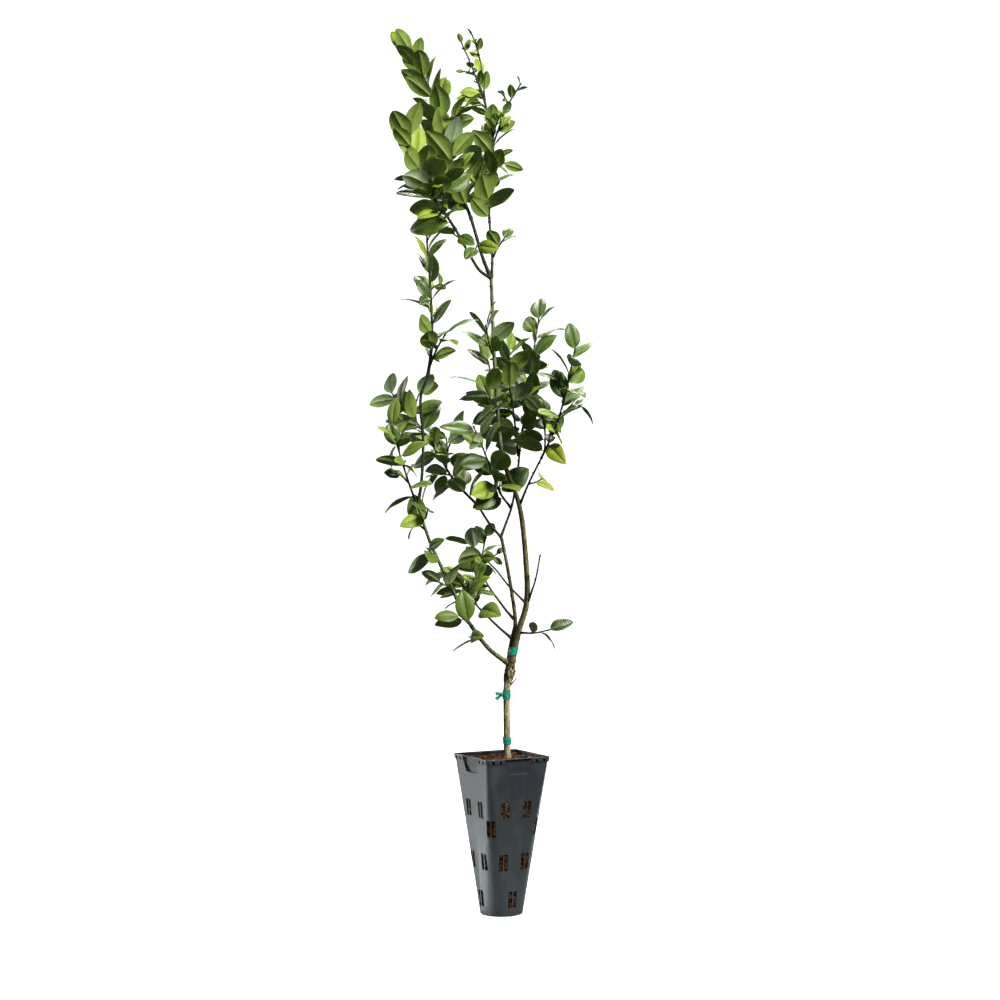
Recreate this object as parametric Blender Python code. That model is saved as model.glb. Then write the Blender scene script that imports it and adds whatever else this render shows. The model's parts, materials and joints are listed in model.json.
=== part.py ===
"""A young grafted meyer lemon tree in a tall pot that turns from square at its rim to round at its foot.

Metres, +Z up. The origin is the middle of the pot's flat underside, and the tree is seen from -Y.
Every stem, bough and shoot is a smooth line through a few stations, with a radius at its foot and its tip.
Each mass of foliage grows by one seeded rule from its stem, and its twigs and leaves are fused into one.
"""

import math
import random
from collections import namedtuple

import bmesh
import bpy
from mathutils import Matrix, Vector
from mathutils.bvhtree import BVHTree

GAP = 0.0003
SHARP_ANGLE = math.radians(35)

# The pot: half widths and corner radii at the foot and the rim, and how it is turned about Z
POT_HEIGHT = 0.350
FOOT_HALF = 0.0462
RIM_HALF = 0.0775
FOOT_CORNER = 0.0447
RIM_CORNER = 0.0045
CORNER_INSET = 0.9
POT_TURN = math.radians(28.5)
WALL = 0.002
FLOOR = 0.004
FOOT_BEVEL = 0.003
LIP_HEIGHT = 0.011
LIP_PROUD = 0.0026
CORNER_STEPS = 5

# The pairs of slots: height of each row, and how far its pairs stand from the middle of their face
SLOT_WIDTH = 0.0086
SLOT_HEIGHT = 0.036
SLOT_SPACING = 0.0114
SLOT_CUT = 0.030
FACE_ROWS = ((0.236, (-0.027, 0.027)), (0.121, (-0.026, 0.026)), (0.038, (0.0,)))
CORNER_ROW_HEIGHT = 0.197

# The grip sunk into each face under the rim, and the pockets under the lip near each corner
GRIP_TOP = 0.3465
GRIP_FOOT = 0.316
GRIP_BEND = 0.3305
GRIP_TOP_HALF = 0.031
GRIP_FOOT_HALF = 0.022
GRIP_DEPTH = 0.0055
POCKET_OFFSETS = (0.045, 0.063)
POCKET_WIDTH = 0.0056
POCKET_HEIGHT = 0.0080
POCKET_DEPTH = 0.0032
POCKET_DROP = 0.001
CUT_BEYOND = 0.03

MIX_TOP = 0.341

# The trunk, from its flat cut on the potting mix to its fork above the graft union
TRUNK_CUT = MIX_TOP + GAP
TRUNK = (
    (0.0132, 0.011, MIX_TOP - 0.010),
    (0.0122, 0.007, 0.382),
    (0.0118, 0.004, 0.424),
    (0.0112, 0.002, 0.464),
    (0.0120, 0.001, 0.501),
    (0.0178, 0.000, 0.530),
    (0.0205, 0.000, 0.556),
)
TRUNK_RADIUS = 0.0076
TRUNK_TAPER = 0.0011
TRUNK_SIDES = 12
TRUNK_RINGS = 22
FORK_SWELL = 0.0030
FLARE = 0.0024
FLARE_HEIGHT = 0.007
GRAFT_HEIGHT = 0.528
GRAFT_SWELL = 0.0052
GRAFT_SPREAD = 0.016
SPUR = ((0.0150, 0.000, 0.500), (0.0240, -0.001, 0.508), (0.0335, -0.002, 0.5195))
SPUR_RADII = (0.0026, 0.0008)
SPUR_SIDES = 6

# The tape bands: which limbs each one holds, and its lowest and highest edge
TAPE_THICKNESS = 0.0010
TAPE_MARGIN = 0.0006
BAND_SIDES = 18
BANDS = (
    ("tape_lower", ("trunk",), 0.373, 0.388),
    ("tape_middle", ("trunk",), 0.473, 0.492),
    ("tape_upper", ("leader", "inner_stem"), 0.570, 0.587),
)
KNOT_BAND = "tape_middle"
KNOT_SIZE = 0.0055
KNOT_STRETCH = (0.85, 0.70, 0.90)
KNOT_SHARE_OUT = 0.75
KNOT_FORWARD = 0.002
EAR_LENGTH = 0.013
EAR_WIDTHS = (0.0027, 0.0045)
EAR_FLATTEN = 0.45
EAR_LEANS = (math.radians(68), math.radians(118))

STATION_SPACING = 0.026
PATH_STEP = 0.0005
SEAT_STEP = 0.0001
TAPER_POWER = 1.5
SECTION_STEP = 0.0005
SEARCH_REACH = 0.03
RIM_POINTS = 12
FOOT_GUARD = 0.008

# Limbs: foot radius, tip radius, and stations from inside what carries the limb to its tip
Limb = namedtuple("Limb", "name foot tip sides stations")
LIMBS = (
    Limb("leader", 0.0066, 0.0036, 8, (
        (0.0222, -0.002, 0.554), (0.0386, 0.005, 0.625), (0.0563, 0.012, 0.691), (0.0530, 0.020, 0.791),
        (0.0397, 0.020, 0.899), (0.0077, 0.012, 0.989), (-0.0025, 0.008, 1.034), (-0.0144, 0.000, 1.195),
        (-0.0227, 0.000, 1.400))),
    Limb("inner_stem", 0.0046, 0.0033, 8, (
        (0.0150, 0.008, 0.545), (0.0225, 0.017, 0.600), (0.0302, 0.021, 0.649), (0.0150, 0.025, 0.753),
        (0.0000, 0.027, 0.828))),
    Limb("low_left_bough", 0.0046, 0.0031, 8, (
        (0.0180, -0.001, 0.549), (-0.0300, -0.012, 0.587), (-0.0770, -0.030, 0.653), (-0.1150, -0.045, 0.733),
        (-0.1540, -0.058, 0.816), (-0.1820, -0.068, 0.901))),
    Limb("left_leader_bough", 0.0031, 0.0028, 6, (
        (-0.1820, -0.068, 0.901), (-0.1740, -0.062, 0.956),
        (-0.1710, -0.056, 1.043), (-0.1770, -0.047, 1.131),
        (-0.1610, -0.044, 1.183))),
    Limb("diagonal_bough", 0.0026, 0.0022, 6, (
        (0.0000, 0.027, 0.828), (-0.0276, 0.030, 0.861), (-0.0520, 0.033, 0.899))),
    Limb("centre_bough", 0.0025, 0.0020, 6, (
        (-0.0010, 0.027, 0.831), (0.0110, 0.036, 0.863), (0.0232, 0.046, 0.899), (0.0345, 0.055, 0.961),
        (0.0436, 0.065, 1.051))),
    Limb("right_bough", 0.0023, 0.0018, 6, (
        (0.0397, 0.020, 0.899), (0.0607, 0.000, 0.950), (0.0870, -0.020, 1.003))),
    Limb("upper_middle_bough", 0.0038, 0.0032, 6, (
        (-0.0227, 0.000, 1.400), (-0.0413, 0.006, 1.447), (-0.0548, 0.012, 1.493), (-0.0673, 0.020, 1.536))),
    Limb("upper_left_bough", 0.0031, 0.0026, 6, (
        (-0.0240, -0.002, 1.402), (-0.0497, -0.016, 1.419),
        (-0.0760, -0.028, 1.461), (-0.1000, -0.040, 1.503))),
    Limb("upper_right_bough", 0.0027, 0.0022, 6, (
        (-0.0222, 0.003, 1.398), (-0.0205, 0.014, 1.453), (-0.0265, 0.030, 1.528))),
    Limb("bare_twig", 0.0020, 0.0012, 6, (
        (0.0559, 0.012, 0.678), (0.0748, -0.005, 0.736), (0.0850, -0.020, 0.791))),
)

# Masses of foliage: radii of the stem, distance between leaves, the seed, a leaf's length at the stem's foot
# and at its tip, the share of the stem that stays bare, the stem's stations, and the side shoots, each as its
# share of the stem and its reach
Mass = namedtuple("Mass", "name foot tip spacing seed low_leaf high_leaf bare stations forks")
MASSES = (
    Mass("upper_middle_foliage", 0.0026, 0.0012, 0.0125, 762, 0.080, 0.066, 0.03, (
        (-0.0673, 0.020, 1.536), (-0.0910, 0.028, 1.601), (-0.1150, 0.035, 1.684), (-0.1335, 0.035, 1.753),
        (-0.1620, 0.030, 1.828), (-0.2010, 0.020, 1.906)), (
        (0.10, (0.045, 0.040, 0.070)), (0.30, (-0.040, 0.050, 0.075)), (0.50, (0.040, -0.015, 0.050)))),
    Mass("upper_left_foliage", 0.0022, 0.0011, 0.0120, 702, 0.078, 0.068, 0.05, (
        (-0.1000, -0.040, 1.503), (-0.1237, -0.060, 1.538),
        (-0.1508, -0.080, 1.573), (-0.1803, -0.095, 1.636),
        (-0.2037, -0.105, 1.697)), (
        (0.30, (-0.020, -0.045, 0.060)), (0.25, (0.035, -0.030, 0.075)))),
    Mass("upper_right_foliage", 0.0019, 0.0010, 0.0185, 765, 0.080, 0.022, 0.0, (
        (-0.0265, 0.030, 1.528), (-0.0270, 0.040, 1.573), (-0.0178, 0.062, 1.698), (-0.0261, 0.074, 1.764),
        (-0.0352, 0.080, 1.800), (-0.0478, 0.084, 1.899), (-0.0655, 0.088, 1.957)), (
        (0.62, (-0.055, -0.020, 0.140)), (0.42, (0.060, 0.012, 0.135)))),
    Mass("left_leader_foliage", 0.0027, 0.0012, 0.0180, 735, 0.066, 0.062, 0.02, (
        (-0.1610, -0.044, 1.183), (-0.1520, -0.044, 1.262),
        (-0.1555, -0.037, 1.372), (-0.1635, -0.030, 1.483),
        (-0.1600, -0.025, 1.531)), (
        (0.05, (0.036, -0.030, 0.070)),)),
    Mass("left_cluster_foliage", 0.0021, 0.0010, 0.0150, 600, 0.074, 0.060, 0.05, (
        (-0.0520, 0.033, 0.899), (-0.1040, 0.040, 0.954), (-0.1500, 0.038, 1.028), (-0.1950, 0.030, 1.094),
        (-0.2420, 0.020, 1.147)), (
        (0.35, (0.020, 0.040, 0.080)), (0.75, (0.010, 0.035, 0.070)))),
    Mass("outer_left_foliage", 0.0018, 0.0010, 0.0220, 587, 0.066, 0.056, 0.03, (
        (-0.1806, -0.068, 0.893), (-0.2000, -0.088, 0.947),
        (-0.2230, -0.105, 1.022), (-0.2350, -0.115, 1.071)), ()),
    Mass("centre_right_foliage", 0.0019, 0.0010, 0.0155, 690, 0.072, 0.062, 0.03, (
        (0.0436, 0.065, 1.051), (0.0571, 0.088, 1.126), (0.0669, 0.115, 1.211), (0.0847, 0.140, 1.322)), (
        (0.30, (-0.015, 0.045, 0.090)),)),
    Mass("centre_left_foliage", 0.0018, 0.0010, 0.0140, 566, 0.072, 0.064, 0.03, (
        (0.0385, 0.0575, 1.005), (0.0280, 0.060, 1.100), (0.0190, 0.055, 1.169), (0.0146, 0.048, 1.246)), (
        (0.20, (-0.050, 0.020, 0.060)),)),
    Mass("front_left_foliage", 0.0018, 0.0010, 0.0140, 725, 0.076, 0.066, 0.08, (
        (0.0215, 0.045, 0.894), (-0.0040, 0.030, 0.930), (-0.0276, 0.000, 0.992), (-0.0475, -0.030, 1.043),
        (-0.0607, -0.045, 1.071)), (
        (0.20, (-0.010, -0.035, 0.020)),)),
    Mass("right_foliage", 0.0018, 0.0010, 0.0180, 778, 0.068, 0.060, 0.03, (
        (0.0870, -0.020, 1.003), (0.1124, -0.055, 1.058), (0.1352, -0.090, 1.129), (0.1576, -0.120, 1.234)), (
        (0.08, (-0.008, -0.012, 0.085)),)),
    Mass("leader_sprig_lower", 0.0013, 0.0010, 0.0110, 672, 0.072, 0.068, 0.0, (
        (-0.0085, 0.003, 1.105), (-0.0200, -0.018, 1.125), (-0.0360, -0.034, 1.160)), ()),
    Mass("leader_sprig_upper", 0.0013, 0.0010, 0.0115, 533, 0.066, 0.060, 0.0, (
        (-0.0150, 0.000, 1.225), (-0.0260, -0.016, 1.250), (-0.0340, -0.026, 1.292)), ()),
    Mass("leader_sprig_back", 0.0013, 0.0010, 0.0125, 703, 0.064, 0.060, 0.0, (
        (-0.0130, 0.000, 1.165), (-0.0220, 0.024, 1.185), (-0.0300, 0.040, 1.222)), ()),
    Mass("crossing_twig_foliage", 0.0016, 0.0010, 0.0150, 593, 0.066, 0.056, 0.62, (
        (0.0555, 0.010, 0.682), (0.0166, -0.006, 0.722), (-0.0155, -0.020, 0.762),
        (-0.0690, -0.045, 0.815)), ()),
    Mass("back_twig_foliage", 0.0020, 0.0010, 0.0190, 953, 0.056, 0.046, 0.38, (
        (0.0300, 0.019, 0.645), (0.0031, 0.034, 0.676), (-0.0371, 0.047, 0.735), (-0.0431, 0.052, 0.780),
        (-0.0353, 0.055, 0.830)), ()),
    Mass("low_twig_foliage", 0.0021, 0.0010, 0.0135, 1887, 0.070, 0.060, 0.42, (
        (0.0235, 0.016, 0.605), (-0.0099, 0.010, 0.634), (-0.0570, 0.002, 0.682), (-0.0872, -0.004, 0.727),
        (-0.1093, -0.006, 0.752)), ()),
    Mass("low_right_foliage", 0.0016, 0.0010, 0.0170, 1805, 0.026, 0.056, 0.20, (
        (0.0370, 0.004, 0.619), (0.0718, -0.010, 0.619), (0.1042, -0.020, 0.626)), ()),
    Mass("low_left_sprig", 0.0013, 0.0010, 0.0110, 1723, 0.066, 0.060, 0.15, (
        (-0.0640, -0.026, 0.633), (-0.0740, -0.042, 0.643), (-0.0900, -0.054, 0.660)), ()),
    Mass("middle_left_sprig", 0.0013, 0.0010, 0.0100, 691, 0.068, 0.060, 0.15, (
        (-0.1380, -0.053, 0.783), (-0.1480, -0.068, 0.792), (-0.1600, -0.080, 0.806)), ()),
    Mass("high_left_sprig", 0.0013, 0.0010, 0.0085, 551, 0.052, 0.046, 0.15, (
        (-0.1720, -0.064, 0.870), (-0.1640, -0.080, 0.874), (-0.1600, -0.092, 0.890)), ()),
    Mass("fork_sprig", 0.0013, 0.0010, 0.0100, 766, 0.060, 0.054, 0.15, (
        (-0.0440, -0.017, 0.607), (-0.0540, -0.028, 0.606), (-0.0680, -0.040, 0.612)), ()),
    Mass("lower_bend_sprig", 0.0013, 0.0010, 0.0090, 772, 0.064, 0.058, 0.15, (
        (-0.1070, -0.042, 0.715), (-0.1180, -0.056, 0.724), (-0.1330, -0.066, 0.731)), ()),
    Mass("upper_bend_sprig", 0.0013, 0.0010, 0.0090, 623, 0.058, 0.052, 0.15, (
        (-0.1670, -0.062, 0.848), (-0.1780, -0.054, 0.856), (-0.1930, -0.046, 0.866)), ()),
    Mass("right_sprig", 0.0013, 0.0010, 0.0120, 651, 0.052, 0.048, 0.15, (
        (0.0600, 0.001, 0.948), (0.0750, 0.014, 0.951), (0.0880, 0.022, 0.958)), ()),
    Mass("upper_left_sprig", 0.0013, 0.0010, 0.0105, 1045, 0.050, 0.044, 0.15, (
        (-0.0915, -0.036, 1.488), (-0.0965, -0.052, 1.487), (-0.1020, -0.066, 1.489)), ()),
    Mass("upper_middle_sprig", 0.0013, 0.0010, 0.0110, 1438, 0.046, 0.042, 0.20, (
        (-0.0500, 0.009, 1.476), (-0.0530, -0.008, 1.474), (-0.0560, -0.022, 1.466)), ()),
    Mass("upper_right_sprig", 0.0014, 0.0010, 0.0115, 882, 0.046, 0.038, 0.35, (
        (-0.0205, 0.014, 1.447), (-0.0060, 0.006, 1.473), (0.0060, -0.002, 1.489)), ()),
)

# The leaf: its width and thickness as shares of its length, its fold along the midrib, and how it hangs.
# Leaves stand steeper and droop less the higher they grow, between the two lift heights
LEAF_WIDTH = (0.48, 0.64)
LEAF_THICKNESS = 0.020
LEAF_FOLD = (0.05, 0.16)
LEAF_CURL = (0.05, 0.36)
LEAF_ROLL = math.radians(74)
LEAF_DROOP = (0.35, 0.05)
LEAF_SIZES = (0.86, 1.24)
ROOT_HALF = 0.0008
SHOULDER = 0.40
HALF_WAY = 0.75
HALF_WAY_WIDTH = 0.80
LEAF_JITTER = 0.3
LEAF_UP_ALONG = 0.4
LEAF_UP_INWARD = 0.2
FOOT_ANGLE = math.radians(66)
TIP_ANGLE = math.radians(43)
LIFT_ANGLE = math.radians(20)
LIFT_HEIGHTS = (0.75, 1.60)
GOLDEN_ANGLE = math.radians(137.5)
TURN_JITTER = math.radians(38)
RETRY_TURN = math.radians(47)
TRIES = 24
GUARD = 0.0016
FIRST_LEAF = 0.6
LAST_LEAF = 0.4
LEAF_END = 0.001

# A side shoot leaves its stem thinner, bends at its knee, and starts its leaves a little way out
SHOOT_SHARE = 0.55
SHOOT_KNEE = 0.45
SHOOT_BEND = 0.10
SHOOT_BARE = 0.12
TWIG_SIDES = 3

Leaf = namedtuple("Leaf", "place along across up length width fold curl")


def clear_scene():
    for obj in list(bpy.data.objects):
        bpy.data.objects.remove(obj)


def new_collection(name):
    collection = bpy.data.collections.new(name)
    bpy.context.scene.collection.children.link(collection)
    return collection


def new_material(name, color, roughness):
    material = bpy.data.materials.new(name)
    material.use_nodes = True
    shader = material.node_tree.nodes["Principled BSDF"]
    shader.inputs["Base Color"].default_value = (*color, 1.0)
    shader.inputs["Roughness"].default_value = roughness
    shader.inputs["Metallic"].default_value = 0.0
    return material


def new_object(name, bm, collection, material=None):
    """An object from a bmesh, which is freed."""
    bmesh.ops.recalc_face_normals(bm, faces=bm.faces)
    mesh = bpy.data.meshes.new(name)
    bm.to_mesh(mesh)
    bm.free()
    obj = bpy.data.objects.new(name, mesh)
    if material:
        mesh.materials.append(material)
    collection.objects.link(obj)
    return obj


def evaluated_mesh(obj):
    bpy.context.view_layer.update()
    graph = bpy.context.evaluated_depsgraph_get()
    return bpy.data.meshes.new_from_object(obj.evaluated_get(graph))


def mix(low, high, share):
    return low + (high - low) * share


def loft(rings, closed=False):
    """A bmesh of skin between rings of points. It is capped at both ends, or closed round on itself."""
    bm = bmesh.new()
    loops = [[bm.verts.new(point) for point in ring] for ring in rings]
    pairs = list(zip(loops, loops[1:]))
    if closed:
        pairs.append((loops[-1], loops[0]))
    else:
        bm.faces.new(reversed(loops[0]))
        bm.faces.new(loops[-1])
    for low, high in pairs:
        for index in range(len(low)):
            following = (index + 1) % len(low)
            bm.faces.new((low[index], low[following], high[following], high[index]))
    return bm


def difference(obj, cutters):
    cut = obj.modifiers.new("cut", "BOOLEAN")
    cut.operation = "DIFFERENCE"
    cut.operand_type = "COLLECTION"
    cut.collection = cutters


def union(obj, pieces):
    """Join a collection's objects to the object, apply it, and remove them."""
    fuse = obj.modifiers.new("fuse", "BOOLEAN")
    fuse.operation = "UNION"
    fuse.operand_type = "COLLECTION"
    fuse.collection = pieces
    fused = evaluated_mesh(obj)
    obj.modifiers.clear()
    obj.data = fused
    for piece in list(pieces.objects):
        bpy.data.objects.remove(piece)
    bpy.data.collections.remove(pieces)


def keep_outer_skin(obj):
    """Fill the hollows that fusing sealed and drop loose scraps: only the largest outer skin stays."""
    bm = bmesh.new()
    bm.from_mesh(obj.data)
    bmesh.ops.triangulate(bm, faces=bm.faces)
    islands = []
    unseen = set(bm.faces)
    while unseen:
        island = {unseen.pop()}
        edge_faces = list(island)
        while edge_faces:
            face = edge_faces.pop()
            for edge in face.edges:
                for other in edge.link_faces:
                    if other in unseen:
                        unseen.discard(other)
                        island.add(other)
                        edge_faces.append(other)
        islands.append(island)
    outer = max(islands, key=skin_volume)
    extra = [face for island in islands if island is not outer for face in island]
    bmesh.ops.delete(bm, geom=extra, context="FACES")
    bm.to_mesh(obj.data)
    bm.free()


def skin_volume(faces):
    """Six times the volume inside these triangles, which is negative for the skin of a hollow."""
    return sum(a.co.dot(b.co.cross(c.co)) for a, b, c in ([*face.verts] for face in faces))


# The pot

def pot_half(height):
    return mix(FOOT_HALF, RIM_HALF, height / POT_HEIGHT)


def pot_corner(height):
    return mix(FOOT_CORNER, RIM_CORNER, height / POT_HEIGHT)


def rounded_square(half, corner, height):
    """Points of a square of this half width with rounded corners, turned as the pot is."""
    turn = Matrix.Rotation(POT_TURN, 3, "Z")
    points = []
    for quarter in range(4):
        start = math.radians(90 * quarter)
        middle = Matrix.Rotation(start, 3, "Z") @ Vector((half - corner, half - corner, 0.0))
        for step in range(CORNER_STEPS + 1):
            angle = start + math.radians(90) * step / CORNER_STEPS
            point = middle + corner * Vector((math.cos(angle), math.sin(angle), 0.0))
            points.append(turn @ point + Vector((0.0, 0.0, height)))
    return points


def wall_ring(height, inset):
    """The pot's section at a height, inside its outer wall by the inset."""
    return rounded_square(pot_half(height) - inset, pot_corner(height) - inset * CORNER_INSET, height)


def prism(outline, near, far):
    """A bmesh of an upright outline of (across, height) points, from the distance near to far along +X."""
    rings = []
    for distance in (near, far):
        rings.append([Vector((distance, across, height)) for across, height in outline])
    return loft(rings)


def box_outline(across, height, width, tall):
    return (
        (across - width / 2, height - tall / 2),
        (across + width / 2, height - tall / 2),
        (across + width / 2, height + tall / 2),
        (across - width / 2, height + tall / 2),
    )


def grip_outline(grow):
    return (
        (-GRIP_FOOT_HALF - grow, GRIP_FOOT - grow),
        (GRIP_FOOT_HALF + grow, GRIP_FOOT - grow),
        (GRIP_TOP_HALF + grow, GRIP_BEND),
        (GRIP_TOP_HALF + grow, GRIP_TOP + grow),
        (-GRIP_TOP_HALF - grow, GRIP_TOP + grow),
        (-GRIP_TOP_HALF - grow, GRIP_BEND),
    )


def helper(name, bm, turn, collection):
    """A cutter or a pad, turned about Z to its face of the pot."""
    obj = new_object(name, bm, collection)
    obj.rotation_euler.z = turn
    obj.hide_render = True
    obj.display_type = "WIRE"
    return obj


def add_slot_pair(across, height, middle_distance, turn, cutters):
    for side in (-1, 1):
        outline = box_outline(across + side * SLOT_SPACING / 2, height, SLOT_WIDTH, SLOT_HEIGHT)
        half_cut = SLOT_CUT / 2
        helper("slot", prism(outline, middle_distance - half_cut, middle_distance + half_cut), turn, cutters)


def add_pot(collection, material):
    rings = [
        rounded_square(FOOT_HALF - FOOT_BEVEL, FOOT_CORNER - FOOT_BEVEL, 0.0),
        wall_ring(FOOT_BEVEL, 0.0),
        wall_ring(POT_HEIGHT - LIP_HEIGHT, 0.0),
        wall_ring(POT_HEIGHT - LIP_HEIGHT, -LIP_PROUD),
        rounded_square(RIM_HALF + LIP_PROUD, RIM_CORNER + LIP_PROUD, POT_HEIGHT),
        rounded_square(RIM_HALF - WALL, RIM_CORNER - WALL, POT_HEIGHT),
        wall_ring(FLOOR, WALL),
    ]
    pot = new_object("pot", loft(rings), collection, material)
    pads = new_collection("pot pads")
    cutters = new_collection("pot cutters")
    for quarter in range(4):
        face_turn = POT_TURN + math.radians(90) * quarter
        corner_turn = face_turn + math.radians(45)
        rim_distance = pot_half(GRIP_TOP)
        inner = rim_distance - WALL / 2
        pad = prism(grip_outline(WALL), inner - GRIP_DEPTH - WALL, inner)
        helper("pad", pad, face_turn, pads)
        grip = prism(grip_outline(0.0), rim_distance - GRIP_DEPTH, rim_distance + CUT_BEYOND)
        helper("grip", grip, face_turn, cutters)
        for height, offsets in FACE_ROWS:
            for across in offsets:
                add_slot_pair(across, height, pot_half(height), face_turn, cutters)
        corner_distance = (
            (pot_half(CORNER_ROW_HEIGHT) - pot_corner(CORNER_ROW_HEIGHT)) * math.sqrt(2)
            + pot_corner(CORNER_ROW_HEIGHT)
        )
        add_slot_pair(0.0, CORNER_ROW_HEIGHT, corner_distance, corner_turn, cutters)
        lip_distance = pot_half(POT_HEIGHT) + LIP_PROUD
        pocket_height = POT_HEIGHT - LIP_HEIGHT - POCKET_DROP + POCKET_HEIGHT / 2
        for side in (-1, 1):
            for offset in POCKET_OFFSETS:
                outline = box_outline(side * offset, pocket_height, POCKET_WIDTH, POCKET_HEIGHT)
                pocket = prism(outline, lip_distance - POCKET_DEPTH, lip_distance + CUT_BEYOND)
                helper("pocket", pocket, face_turn, cutters)
    union(pot, pads)
    difference(pot, cutters)
    return pot


def add_potting_mix(collection, material):
    clearance = WALL + GAP
    low = FLOOR + GAP
    mix_body = new_object(
        "potting_mix", loft([wall_ring(low, clearance), wall_ring(MIX_TOP, clearance)]), collection, material
    )
    cutters = new_collection("potting mix cutters")
    for quarter in range(4):
        turn = POT_TURN + math.radians(90) * quarter
        inner = pot_half(GRIP_TOP) - WALL / 2 - GRIP_DEPTH - WALL - GAP
        room = prism(grip_outline(WALL + GAP), inner, inner + CUT_BEYOND)
        helper("pad room", room, turn, cutters)
    difference(mix_body, cutters)


# Limbs

class Path:
    """A smooth line through stations, read by its length from the foot."""

    def __init__(self, stations):
        ends = [Vector(station) for station in stations]
        first = ends[0] * 2 - ends[1]
        last = ends[-1] * 2 - ends[-2]
        knots = [first, *ends, last]
        self.points = [ends[0]]
        for index in range(1, len(knots) - 2):
            before, start, end, after = knots[index - 1:index + 3]
            steps = max(2, math.ceil((end - start).length / PATH_STEP))
            for step in range(1, steps + 1):
                self.points.append(catmull_rom(before, start, end, after, step / steps))
        self.lengths = [0.0]
        for low, high in zip(self.points, self.points[1:]):
            self.lengths.append(self.lengths[-1] + (high - low).length)
        self.length = self.lengths[-1]

    def at(self, distance):
        """The place at this distance from the foot, and the heading there."""
        share = min(max(distance / self.length, 0.0), 1.0)
        low = min(int(share * (len(self.points) - 1)), len(self.points) - 2)
        while low > 0 and self.lengths[low] > distance:
            low -= 1
        while low < len(self.points) - 2 and self.lengths[low + 1] < distance:
            low += 1
        span = self.lengths[low + 1] - self.lengths[low]
        start, end = self.points[low], self.points[low + 1]
        return start.lerp(end, (distance - self.lengths[low]) / span), (end - start).normalized()


def catmull_rom(before, start, end, after, share):
    return 0.5 * (
        2 * start
        + (end - before) * share
        + (2 * before - 5 * start + 4 * end - after) * share**2
        + (3 * start - before - 3 * end + after) * share**3
    )


def square_to(heading):
    """Two directions at right angles to a heading and to each other."""
    side = heading.orthogonal().normalized()
    return side, heading.cross(side)


def is_outside(place, trees):
    for tree in trees:
        nearest, normal, _, _ = tree.find_nearest(place, SEARCH_REACH)
        if nearest and (place - nearest).dot(normal) < 0:
            return False
    return True


def foot_guard(path, distance, radius):
    """A short tube round a limb's foot, larger than the foot by the gap all round."""
    place = path.at(distance)[0]
    heading = (path.at(distance + STATION_SPACING)[0] - place).normalized()
    side, other = square_to(heading)
    points = []
    for middle in (place - heading * GAP, place + heading * FOOT_GUARD):
        for index in range(RIM_POINTS):
            turn = math.tau * index / RIM_POINTS
            points.append(middle + (radius + GAP) * (math.cos(turn) * side + math.sin(turn) * other))
    faces = [tuple(range(RIM_POINTS)), tuple(range(RIM_POINTS, 2 * RIM_POINTS))]
    for index in range(RIM_POINTS):
        following = (index + 1) % RIM_POINTS
        faces.append((index, following, following + RIM_POINTS, index + RIM_POINTS))
    return BVHTree.FromPolygons(points, faces)


def seat(path, radius, trees):
    """How far along its path a limb starts, so that its foot lies the gap clear of what carries it."""
    distance = 0.0
    while distance < path.length:
        guard = foot_guard(path, distance, radius)
        if is_outside(path.at(distance)[0], trees) and not any(guard.overlap(tree) for tree in trees):
            return distance
        distance += SEAT_STEP
    raise ValueError("a limb never leaves what carries it")


def taper(foot, tip, share):
    return tip + (foot - tip) * (1 - share) ** TAPER_POWER


def profile_of(sides, collection):
    """A guide: a regular outline with this many sides and a radius of 1, for a curve's bevel."""
    outline = bpy.data.curves.new("profile", "CURVE")
    spline = outline.splines.new("POLY")
    spline.points.add(sides - 1)
    for index, point in enumerate(spline.points):
        turn = math.tau * index / sides
        point.co = (math.cos(turn), math.sin(turn), 0.0, 1.0)
    spline.use_cyclic_u = True
    profile = bpy.data.objects.new("profile", outline)
    collection.objects.link(profile)
    return profile


def tube(name, places, radii, sides, collection, material=None):
    """A closed mesh tube with a radius at each place, from a bevelled curve."""
    curve = bpy.data.curves.new(name, "CURVE")
    curve.dimensions = "3D"
    curve.bevel_mode = "OBJECT"
    curve.bevel_object = profile_of(sides, collection)
    curve.use_fill_caps = True
    spline = curve.splines.new("POLY")
    spline.points.add(len(places) - 1)
    for point, place, radius in zip(spline.points, places, radii):
        point.co = (*place, 1.0)
        point.radius = radius
    guide = bpy.data.objects.new(name, curve)
    collection.objects.link(guide)
    bm = bmesh.new()
    bm.from_mesh(evaluated_mesh(guide))
    bpy.data.objects.remove(curve.bevel_object)
    bpy.data.objects.remove(guide)
    bmesh.ops.remove_doubles(bm, verts=bm.verts, dist=1e-6)
    return new_object(name, bm, collection, material)


def limb_tube(name, path, start, foot, tip, sides, collection, material=None):
    count = max(2, round((path.length - start) / STATION_SPACING))
    shares = [index / count for index in range(count + 1)]
    places = [path.at(mix(start, path.length, share))[0] for share in shares]
    radii = [taper(foot, tip, share) for share in shares]
    return tube(name, places, radii, sides, collection, material)


def tree_of(obj):
    points = [vertex.co for vertex in obj.data.vertices]
    faces = [tuple(face.vertices) for face in obj.data.polygons]
    return BVHTree.FromPolygons(points, faces)


def trunk_radius(height):
    """A slight taper, a flare at the soil, and the swelling at the graft union."""
    risen = max(0.0, height - TRUNK_CUT)
    swelling = GRAFT_SWELL * math.exp(-(((height - GRAFT_HEIGHT) / GRAFT_SPREAD) ** 2))
    shrink = TRUNK_TAPER * risen / (TRUNK[-1][2] - TRUNK_CUT)
    widening = FORK_SWELL * max(0.0, (height - GRAFT_HEIGHT) / (TRUNK[-1][2] - GRAFT_HEIGHT))
    return TRUNK_RADIUS - shrink + FLARE * math.exp(-risen / FLARE_HEIGHT) + swelling + widening


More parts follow.
